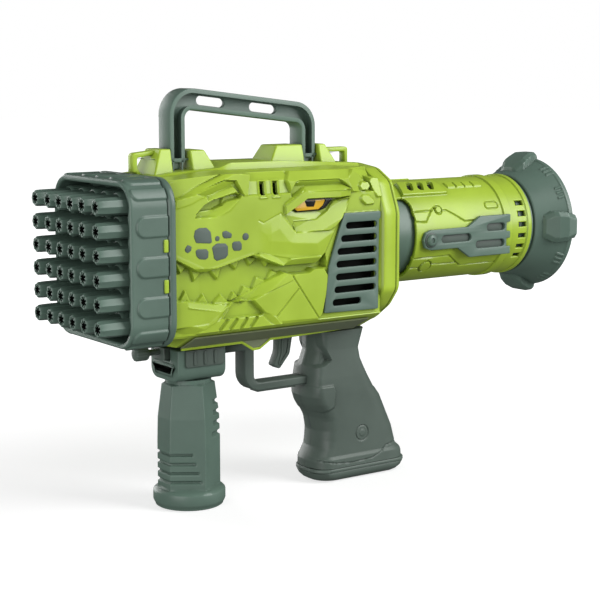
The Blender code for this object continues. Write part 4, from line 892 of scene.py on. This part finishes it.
FLUTES = 8
TUBE_POINTS = 64
TUBE_ROWS = (-31.5, -18.9, -6.3, 6.3, 18.9, 31.5)
TUBE_COLUMNS = (-34.6, -19.6, -6.5, 6.5, 19.6, 34.6)
# place along the tube, radius outside and how deep its lobes are
TUBE_OUTSIDE = ((34.4, 4.75, 0.0), (6.0, 4.6, 0.0), (3.2, 4.55, 0.05), (0.9, 4.4, 0.20), (0.3, 4.2, 0.22),
                (0.0, 3.9, 0.20))
# place along the bore and what is added to its star
TUBE_BORE = ((0.0, 0.35), (0.35, 0.05), (4.0, 0.0), (12.0, 0.0))
BORE_END = (12.1, SEAM)
CUP = ((34.2, 6.3), (22.2, 6.1), (21.0, 5.9), (20.4, 5.4), (20.3, 4.9), (21.4, 4.4), (24, 4.2))


def make_nozzles():
    """One mesh for the 36 tubes, with lobed rims and star-shaped bores painted near black inside as shade, a
    plate and a cup each.
    """
    angle = np.linspace(0, 2 * pi, TUBE_POINTS + 1)[:-1]
    lobes = 0.5 + 0.5 * np.cos(FLUTES * angle)
    star = 2.95 - 1.5 * np.abs(np.cos(FLUTES / 2 * angle)) ** 8
    flat = pi / FLUTES
    eight_sided = np.cos(flat) / np.cos(angle % (2 * flat) - flat)
    profile = [(px, radius * eight_sided - lobe * 0.9 * (1 - lobes)) for px, radius, lobe in TUBE_OUTSIDE]
    profile += [(px, star + more) for px, more in TUBE_BORE] + [BORE_END]
    tube = np.array([row(px, r * np.cos(angle), r * np.sin(angle)) for px, r in profile])
    rows = len(profile)
    corners, faces, dark = [], [], []
    for y in TUBE_COLUMNS:
        for z in TUBE_ROWS:
            base = len(corners)
            corners.extend((tube + (0, y, z)).reshape(-1, 3).tolist())
            for a in range(rows - 1):
                here, after = base + a * TUBE_POINTS, base + (a + 1) * TUBE_POINTS
                for i in range(TUBE_POINTS):
                    j = (i + 1) % TUBE_POINTS
                    faces.append((here + i, here + j, after + j, after + i))
                    # Faces deeper in the bore, and its closed end, take the near-black painted shade.
                    dark.append(a > len(TUBE_OUTSIDE))
            faces.append(tuple(range(base + (rows - 1) * TUBE_POINTS, base + rows * TUBE_POINTS)))
            dark.append(True)
    item = solid("nozzle_tubes", corners, faces, GREY, sharp=24)
    item.data.materials.append(PAINTED_SHADE_BLACK)
    for face, in_bore_shade in zip(item.data.polygons, dark):
        face.material_index = 1 if in_bore_shade else 0
    base = round_rect(HEAD_Y - 3.4, HEAD_Z - 3.4, HEAD_R - 3.2, 8)
    plate("nozzle_plate", base, 34.0, 37.0, GREY, axis="X", edge=0.3, replaces="nozzle_block")
    for i, y in enumerate(TUBE_COLUMNS):
        for j, z in enumerate(TUBE_ROWS):
            turned(f"tube_cup_{i + 1}_{j + 1}", CUP, GREY, at=(0, y, z), count=28)


# ---------------------------------------------------------------- links and carry handle
LINK = ((230, 6.0), (253.5, 6.2), (263.2, 12.2), (288, 12.2), (288, 7.5), (285, 7.5), (285, 1.9), (288, 1.9),
        (288, -2.4), (285, -2.4), (285, -7.4), (288, -7.4), (288, -12.2), (255, -12.2), (245.6, -6),
        (224, -6), (220, -4.5), (218.3, 0), (220, 4.5), (224, 6))


LINK_SLOTS = ((244.2, 0, 11.8), (276, 5, 7.5), (271.5, -5, 11.8))
LINK_BOLT_X = 224.2
BOLT_PROFILE = ((32.9, 3.6), (33.9, 3.6), (34.5, 3.2), (34.9, 2.4), (34.9, 1.5), (34.2, 1.2), (34.2, 0.05),
                (32.9, 0.05))


def make_links():
    slots = [slot_outline((x, z), half, 2.3) for x, z, half in LINK_SLOTS]
    both("link_plate", rounded(LINK, 0.5), 30.6, 32.9, GREY, holes=slots, edge=0.45, replaces="link_plate")
    # Slot floors in darker grey than the plate are painted shade in the slots.
    for i, (x, z, half) in enumerate(LINK_SLOTS):
        both(f"link_slot_floor_{i + 1}", slot_outline((x, z), half + 0.4, 2.7), 30.4, 31.2, DARK, edge=0.1)
    for label, side in SIDES.items():
        washer = circle(LINK_BOLT_X, 0, 4.6)
        plate("link_washer_" + label, washer, side * 32.6, side * 33.4, DARK, edge=0.3)
        turned("link_bolt_" + label, [(side * a, r) for a, r in BOLT_PROFILE], GREY, axis="Y",
               at=(LINK_BOLT_X, 0, 0), count=32, replaces="link_bolt_" + label)


HANDLE_FALL = 0.118        # how steeply the bar falls towards the back
HANDLE_TOP, HANDLE_UNDER, HANDLE_FOOT = 90.0, 78.2, 50.2


def make_carry_handle():
    front, rear, half_leg, foot = 66.1, 153.5, 4.8, HANDLE_FOOT

    def bar(x, height):
        return height - HANDLE_FALL * (x - 80)

    (x0, x1), (x2, x3) = [(x - half_leg, x + half_leg) for x in (front, rear)]
    outline = filleted((
        (x0, foot, 0.5), (x0, bar(x0, HANDLE_TOP), 14.5), (x3, bar(x3, HANDLE_TOP), 14), (x3, foot, 0.5),
        (x2, foot, 0.5), (x2, bar(x2, HANDLE_UNDER), 4.5), (x1, bar(x1, HANDLE_UNDER), 4.5),
        (x1, foot, 0.5)), 10)
    middle = (HANDLE_TOP + HANDLE_UNDER) / 2
    slots = [slot_outline((x, bar(x, middle)), 9.3, 2.5, 8, -0.1175) for x in (90.3, 125.1)]
    web = inset(outline, 0.9)
    plate("carry_handle", web, -1.5, 1.5, GREY, holes=slots, edge=0.3, replaces="carry_handle")
    plate("handle_rim", outline, -6.3, 6.3, GREY, holes=[inset(outline, 1.9)], edge=0.6)
    for i, x in enumerate((front, rear)):
        stub = [(u + x, v) for u, v in round_rect(2.6, 4.5, 0.8, 3)]
        plate(f"handle_foot_{i + 1}", stub, 46.8, 51.4, GREY, axis="Z", edge=0.3)


# ---------------------------------------------------------------- rail, trigger and clamp
def make_rail():
    outline = filleted(((56, -51.3, 0.4), (129, -51.3, 0.3), (129, -53.3, 0.3), (116, -53.3, 1.5),
                        (116, -78.1, 4.5), (157.0, -78.1, 0.3), (157.0, -83.2, 0.6), (109.5, -83.2, 11),
                        (109.5, -58.5, 1.0), (56, -58.5, 0.4)), 6)
    plate("guard_rail", outline, -5.5, 5.5, DARK, edge=0.9, replaces="guard_rail")
    strip = filleted(((119, -83.2, 0.3), (146, -83.2, 0.3), (146, -84.0, 0.2), (119, -84.0, 0.2)), 2)
    plate("guard_rail_strip", strip, -4.0, 4.0, DARK, edge=0.2)
    profile = ((40.5, 0.05), (40.5, 3.0), (40.9, 3.7), (41.6, 4.0), (47.6, 4.0), (48.2, 3.7), (48.6, 2.0),
               (52.0, 1.6), (60.0, 1.6), (60.0, 0.05))

    def knurl(angle, along):
        return 1 - (0.09 * max(0, cos(12 * angle)) if 40.8 < along < 48 else 0)

    turned("thumb_screw", profile, DARK, at=(0, 0, -54.0), count=96, wave=knurl, body="thumb_screw",
           replaces="thumb_screw", sharp=50)


def make_trigger():
    outline = filleted(((134.8, -51.0, 0), (134.4, -62.2, 10), (131.0, -70.0, 1.2), (135.2, -72.4, 1.4),
                        (142.5, -64.0, 6), (144.3, -53.8, 12), (145.0, -47.8, 2), (158.5, -47.2, 1),
                        (158.5, -42.5, 1), (144.0, -42.5, 0), (142.5, -40.5, 1.5), (137.0, -40.5, 1.5),
                        (135.2, -44.0, 0)), 6)
    hole = circle(140, -44, 1.8, 24)
    plate("trigger", outline, -3.3, 3.3, DARK, holes=[hole], edge=0.7, body="trigger", replaces="trigger")
    recess = filleted(((136.3, -54, 1), (136.0, -63, 6), (134.0, -69.0, 0.8), (135.4, -70.4, 0.8),
                       (140.9, -63.2, 4), (142.4, -54, 1)), 4)
    both("trigger_cheek", recess, 3.1, 3.8, DARK, holes=[inset(recess, 0.8)], edge=0.2, body="trigger")


def make_clamp():
    top, under, half, slot, floor = -52.0, -70.3, 15.0, 5.8, -58.8
    outline = filleted(((-half, top, 0.6), (-half, under, 6.4), (half, under, 6.4), (half, top, 0.6),
                        (slot, top, 0.2), (slot, floor, 0.2), (-slot, floor, 0.2), (-slot, top, 0.2)), 6)
    plate("clamp_block", outline, 59.4, 90.6, GREY, axis="X", edge=0.9, replaces="clamp_block")
    front = filleted(((-11.5, -60.2, 1), (-9.0, -67.6, 1.5), (9.0, -67.6, 1.5), (11.5, -60.2, 1)), 4)
    plate("clamp_front_frame", front, 58.7, 59.8, GREY, axis="X", holes=[inset(front, 1.4)], edge=0.3)
    side = filleted(((64.0, -52.2, 0.8), (88.8, -52.2, 0.8), (88.8, -61.9, 1.5), (64.0, -61.9, 1.5)), 4)
    both("clamp_plate", side, 14.6, 16.3, DARK, edge=0.4, replaces="clamp_plate")
    for i, x in enumerate((69.5, 76.1, 82.7)):
        rib = slot_outline((x, -57.0), 3.9, 0.8, 4, pi / 2)
        both(f"clamp_rib_{i + 1}", rib, 16.0, 17.0, DARK, edge=0.3)


# ---------------------------------------------------------------- front grip
FACE_ANGLES = ((180, 22.5), (123.75, 33.75), (56.25, 33.75), (0, 22.5), (-56.25, 33.75), (-123.75, 33.75))
GRIP_X = 74.8
GRIP_COLUMNS = 288
# height, radius and how flat the faces are there
GRIP_STATIONS = ((-70.3, 13.0, 0.0), (-72.6, 13.0, 0.0), (-72.8, 14.0, 0.6), (-73.4, 15.2, 1.0),
                 (-92.0, 17.6, 1.0), (-106.0, 18.0, 1.0), (-131.6, 18.0, 1.0), (-132.6, 18.2, 0.6),
                 (-133.2, 19.4, 0.1), (-134.2, 20.3, 0.0), (-135.0, 20.5, 0.0), (-139.6, 20.5, 0.0),
                 (-140.8, 20.0, 0.0), (-141.2, 19.6, 0.0), (-142.6, 19.2, 0.0), (-143.0, 18.6, 0.0))
GRIP_HOLLOW = ((14.2, -143.0), (13.4, -142.4), (12.8, -141.0), (12.8, -100.0), (12.6, -82.0), (0.1, -80.5))
# levels of the grooves and how far round each runs, on the front and on the back
FRONT_GROOVES = ((-112.0, 66), (-117.4, 73), (-122.6, 79), (-127.8, 84))
BACK_GROOVES = ((-84.5, 44), (-90.5, 48), (-96.5, 51), (-102.5, 60))


def falling(z, heights, values):
    """Values read at z from heights that are listed from the top down."""
    return np.interp(z, heights[::-1], values[::-1])


def make_front_grip():
    levels, radii, flats = zip(*GRIP_STATIONS)
    angle = 2 * pi * (np.arange(GRIP_COLUMNS) + 0.5) / GRIP_COLUMNS
    turn = np.degrees(angle)

    def ring(reach, z):
        return row(reach * np.cos(angle), reach * np.sin(angle), z)

    rows = [ring(0.1, levels[0])]
    for z in sorted(set(levels) | set(np.arange(-131.5, -73.5, 0.5)), reverse=True):
        radius = falling(z, levels, radii)
        flat = falling(z, levels, flats)
        reach = np.full(GRIP_COLUMNS, radius)
        for face, half_width in FACE_ANGLES:
            lean = np.cos(angle - radians(face))
            flat_reach = radius * cos(radians(half_width)) / np.maximum(lean, 0.5)
            reach = np.where(lean > 0.5, np.minimum(reach, radius + (flat_reach - radius) * flat), reach)
        for grooves, middle, half, soft, depth in ((FRONT_GROOVES, 180, 0.75, 0.5, 1.2),
                                                   (BACK_GROOVES, 0, 1.1, 0.9, 1.5)):
            near = np.abs((turn - middle + 180) % 360 - 180)
            for level, span in grooves:
                inside = (span - near) * radius * pi / 180
                reach = reach - depth * blend(half - abs(z - level), soft) * blend(inside, 1)
        rows.append(ring(reach, z))
    rows += [ring(radius, z) for radius, z in GRIP_HOLLOW]
    item = skin("front_grip", np.array(rows), GREY, closed=True, sharp=32, replaces="front_grip")
    item.data.transform(Matrix.Translation((GRIP_X * MM, 0, 0)))


# ---------------------------------------------------------------- rear grip
# edges of the grip from the front to the back, each (x, z) from the top down
GRIP_EDGES = (
    ((156.5, -51.5), (156.5, -63.6), (153.6, -71.6), (152.6, -81.0), (151.6, -90.4), (153.4, -96.0),
     (158.0, -104.0), (160.0, -112.1), (159.4, -122.5), (156.0, -128.0), (155.2, -130.0), (155.2, -134.5)),
    ((163.5, -51.5), (163.3, -63), (160.5, -71), (158.5, -79), (159.0, -87.6), (161.6, -94.7),
     (167.0, -100.0), (170.5, -106.0), (170.2, -118.0), (166.5, -128.0), (166.0, -134.5)),
    ((182.5, -51.5), (180.5, -64), (183.5, -76), (188, -90), (195.5, -108), (202, -124), (206, -134.5)),
    ((193.0, -51.5), (188.8, -63.0), (190.0, -70.0), (196.1, -80.7), (201.6, -89.0), (202.6, -89.6),
     (206.6, -94.5), (211.4, -104.8), (216.0, -114.6), (219.0, -126.0), (222.4, -129.0), (223.4, -131.0),
     (223.4, -134.5)))
GRIP_HALF = ((-51.5, 13.8), (-63, 13.6), (-80, 14.2), (-112, 14.4), (-127.5, 14.6), (-129, 15.6),
             (-134.5, 15.6))
GRIP_SHELF = ((136, -50), (158, -50), (159.5, -60), (164.5, -68.8), (160, -71.4), (150, -73.5), (136, -75))
GRIP_STOP = ((136, -84.2), (166, -84.2), (167.5, -88), (166.5, -97), (160, -100), (136, -97))
GRIP_SEAM = ((156, -129), (168, -131.4), (179.7, -132.4), (195, -131.6), (203, -128.2), (206, -125.6),
             (212, -124.6), (222, -124.6))
BUTTON = (187.6, -115.5)


def make_rear_grip():
    """Rounded grip: its edges are read at each height and joined by a rounded section."""
    z = np.arange(-134.4, -51.4, 0.5)[::-1]
    edges = [falling(z, *list(zip(*line))[::-1]) for line in GRIP_EDGES]
    bend = np.linspace(0, 1, 40)
    share = (*(1 - np.cos(bend * pi / 2)), *np.linspace(1, 2, 110)[1:-1], *(2 + np.sin(bend * pi / 2)))
    X = np.array([np.interp(share, (0, 1, 2, 3), at_height) for at_height in zip(*edges)])
    Z, S = np.meshgrid(z, share, indexing="ij")
    front, back = np.clip(1 - S, 0, 1), np.clip(S - 2, 0, 1)
    Y = falling(Z, *zip(*GRIP_HALF)) * (1 - front ** 2.4) ** 0.5 * (1 - back ** 3.2) ** 0.45
    Y = Y - 3.6 * blend(depth_inside(X, Z, GRIP_SHELF), 1.4) * np.clip(Y / 6, 0, 1)
    Y = Y + 1.1 * blend(depth_inside(X, Z, GRIP_STOP), 0.9) * np.clip(Y / 6, 0, 1)
    Y = groove(Y, X, Z, GRIP_SEAM, 0.3, 0.6)
    ring = circle(*BUTTON, 4.6, 24)
    Y = groove(Y, X, Z, ring + ring[:1], 0.3, 0.5)
    Y = Y + 0.35 * blend(2.0 - np.hypot(X - BUTTON[0], Z - BUTTON[1]), 0.5)
    field = np.pad(np.stack((X, Y, Z), -1), ((1, 1), (1, 1), (0, 0)), "edge")
    for border in (field[0], field[-1], field[:, 0], field[:, -1]):
        border[:, 1] = SEAM
    skin_both("rear_grip", field, DARK, sharp=30)


# height, how far the ends are pulled in, and half the width
COVER_STATIONS = ((-134.8, 0.0, 15.4), (-135.2, -0.2, 15.7), (-136.6, -0.2, 15.7), (-137.0, 0.4, 15.3),
                  (-137.4, 0.0, 15.5), (-140.0, 1.2, 14.8), (-141.8, 2.8, 13.4), (-142.6, 4.2, 12.2),
                  (-143.0, 6.0, 10.6))
COVER_ENDS, COVER_TURN = (155.2, 223.4), 10.4


def make_battery_cover():
    loops = []
    for z, pull, half in COVER_STATIONS:
        left, right = COVER_ENDS[0] + pull, COVER_ENDS[1] - pull
        corners = ((left, -half), (left, half), (right, half), (right, -half))
        loops.append([(u, v, z) for u, v in rounded(corners, COVER_TURN, 9)])
    loft("battery_cover", loops, DARK, body="battery_cover", replaces="battery_cover", sharp=50)
    for i in range(9):
        grip = slot_outline((168 + 4.2 * i, 0), 7.0, 0.8, 4, pi / 2)
        plate(f"cover_grip_{i + 1}", grip, -142.2, -142.95, DARK, axis="Z", edge=0.1, body="battery_cover")


SHELL_SCREWS = ((62.0, -33.0), (62.0, 18.0), (125.0, -33.0), (125.0, 10.0))
GRIP_SCREWS = ((172.0, -64.0), (160.0, -86.0), (208.0, -118.0))


def make_screws():
    """Cross-head screws of the right shell and grip."""
    for family, places, low, high, radius in (("shell_screw", SHELL_SCREWS, 39.0, 40.3, 2.8),
                                              ("grip_screw", GRIP_SCREWS, 14.4, 15.4, 2.5)):
        a, b = 0.45, radius * 0.62
        cross = ((a, a), (a, b), (-a, b), (-a, a), (-b, a), (-b, -a), (-a, -a), (-a, -b), (a, -b), (a, -a),
                 (b, -a), (b, a))
        for i, (x, z) in enumerate(places):
            name = f"{family}_{i + 1}"
            disc = circle(x, z, radius)
            plate(name, disc, low, high, STEEL, holes=[[(x + u, z + v) for u, v in cross]], edge=0.3,
                  replaces=name)
            # A black disc under each cross recess is painted shade inside the recess.
            recess_shade_disc = [(x + 0.7 * (u - x), z + 0.7 * (v - z)) for u, v in disc]
            plate(name + "_recess", recess_shade_disc, low - 0.4, high - 0.7, BLACK, edge=0.1)


# ---------------------------------------------------------------- carried-over pieces
def dress_inner_parts():
    carried = {
        WHITE: ("air_duct", "motor_bracket", "fan_impeller", "trigger_frame"),
        BLACK: ("switch_block", "motor_lead_black"),
        BOARD: ("circuit_board",),
        CAN: ("fan_motor",),
        STEEL: ("motor_shaft", "bracket_screw_1", "bracket_screw_2", "trigger_pin", "trigger_spring",
                "contact_bridge", "handle_screw_front", "handle_screw_rear", "grip_bolt",
                "battery_contact_bottom", "battery_contact_top"),
        SLEEVE: ("battery_cell_front", "battery_cell_middle", "battery_cell_rear"),
        RED: ("motor_lead_red",),
        GREY: ("grip_base_cap",),
    }
    for material, names in carried.items():
        for name in names:
            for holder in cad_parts[name].material_slots:
                holder.material = material


# ---------------------------------------------------------------- stage, light and camera
WORLD_LIGHT, SHEEN_LIGHT = 0.24, 0.08
KEY_LIGHT, FRONT_LIGHT, BACK_LIGHT = 21.0, 9.0, 10.0
CAMERA_PLACE = (-0.5297, -0.7250, 0.2445)
CAMERA_TURN = (81.365, 0, -35.37)
CAMERA_LENS = 91.83


def make_stage():
    mesh = bpy.data.meshes.new("floor")
    reach, ground = 6.0, cad_box[0][2] - 0.0002
    mesh.from_pydata([(-reach, -reach, ground), (reach, -reach, ground), (reach, reach, ground),
                      (-reach, reach, ground)], [], [(0, 1, 2, 3)])
    mesh.materials.append(FLOOR)
    floor = bpy.data.objects.new("floor", mesh)
    floor.visible_diffuse = False
    floor.visible_glossy = False
    floor.visible_shadow = False
    bpy.context.scene.collection.objects.link(floor)


def area_light(name, place, target, size, power, colour=(1, 1, 1)):
    lamp = bpy.data.lights.new(name, "AREA")
    lamp.shape = "RECTANGLE"
    lamp.size, lamp.size_y = size
    lamp.energy = power
    lamp.color = colour
    item = bpy.data.objects.new(name, lamp)
    item.location = place
    item.rotation_euler = (Vector(target) - Vector(place)).to_track_quat("-Z", "Y").to_euler()
    bpy.context.scene.collection.objects.link(item)


def make_lights():
    """Dim even light from all round, one large soft box beside the camera, and a white backdrop."""
    world = bpy.data.worlds.new("studio")
    world.use_nodes = True
    tree = world.node_tree
    sky = tree.nodes["Background"]
    sky.inputs["Color"].default_value = (1, 1, 1, 1)
    sky.inputs["Strength"].default_value = WORLD_LIGHT
    last = sky.outputs["Background"]
    seen = tree.nodes.new("ShaderNodeLightPath")
    for ray, strength in (("Is Glossy Ray", SHEEN_LIGHT), ("Is Camera Ray", 1.0)):
        backdrop = tree.nodes.new("ShaderNodeBackground")
        backdrop.inputs["Color"].default_value = (1, 1, 1, 1)
        backdrop.inputs["Strength"].default_value = strength
        choose = tree.nodes.new("ShaderNodeMixShader")
        tree.links.new(seen.outputs[ray], choose.inputs["Fac"])
        tree.links.new(last, choose.inputs[1])
        tree.links.new(backdrop.outputs["Background"], choose.inputs[2])
        last = choose.outputs["Shader"]
    tree.links.new(last, tree.nodes["World Output"].inputs["Surface"])
    bpy.context.scene.world = world
    middle = (0, 0, 0.13)
    area_light("key", (0.76, -0.95, 0.80), middle, (0.7, 1.3), KEY_LIGHT)
    area_light("front_fill", (-1.2, -0.6, 0.25), middle, (0.9, 0.9), FRONT_LIGHT)
    area_light("back_fill", (-0.2, 1.3, 0.32), middle, (0.9, 0.9), BACK_LIGHT)


def make_camera():
    camera = bpy.data.cameras.new("camera")
    camera.lens = CAMERA_LENS
    camera.sensor_width = 36
    camera.clip_start = 0.01
    item = bpy.data.objects.new("camera", camera)
    item.location = CAMERA_PLACE
    item.rotation_euler = [radians(a) for a in CAMERA_TURN]
    bpy.context.scene.collection.objects.link(item)
    bpy.context.scene.camera = item


for make in (make_body, make_collar, make_face_details, make_side_parts, make_barrel, make_bell,
             make_head_shroud, make_nozzles, make_links, make_carry_handle, make_rail, make_trigger,
             make_clamp, make_front_grip, make_rear_grip, make_battery_cover, make_screws,
             dress_inner_parts, make_stage, make_lights, make_camera):
    make()
bpy.context.scene.view_settings.view_transform = "Standard"
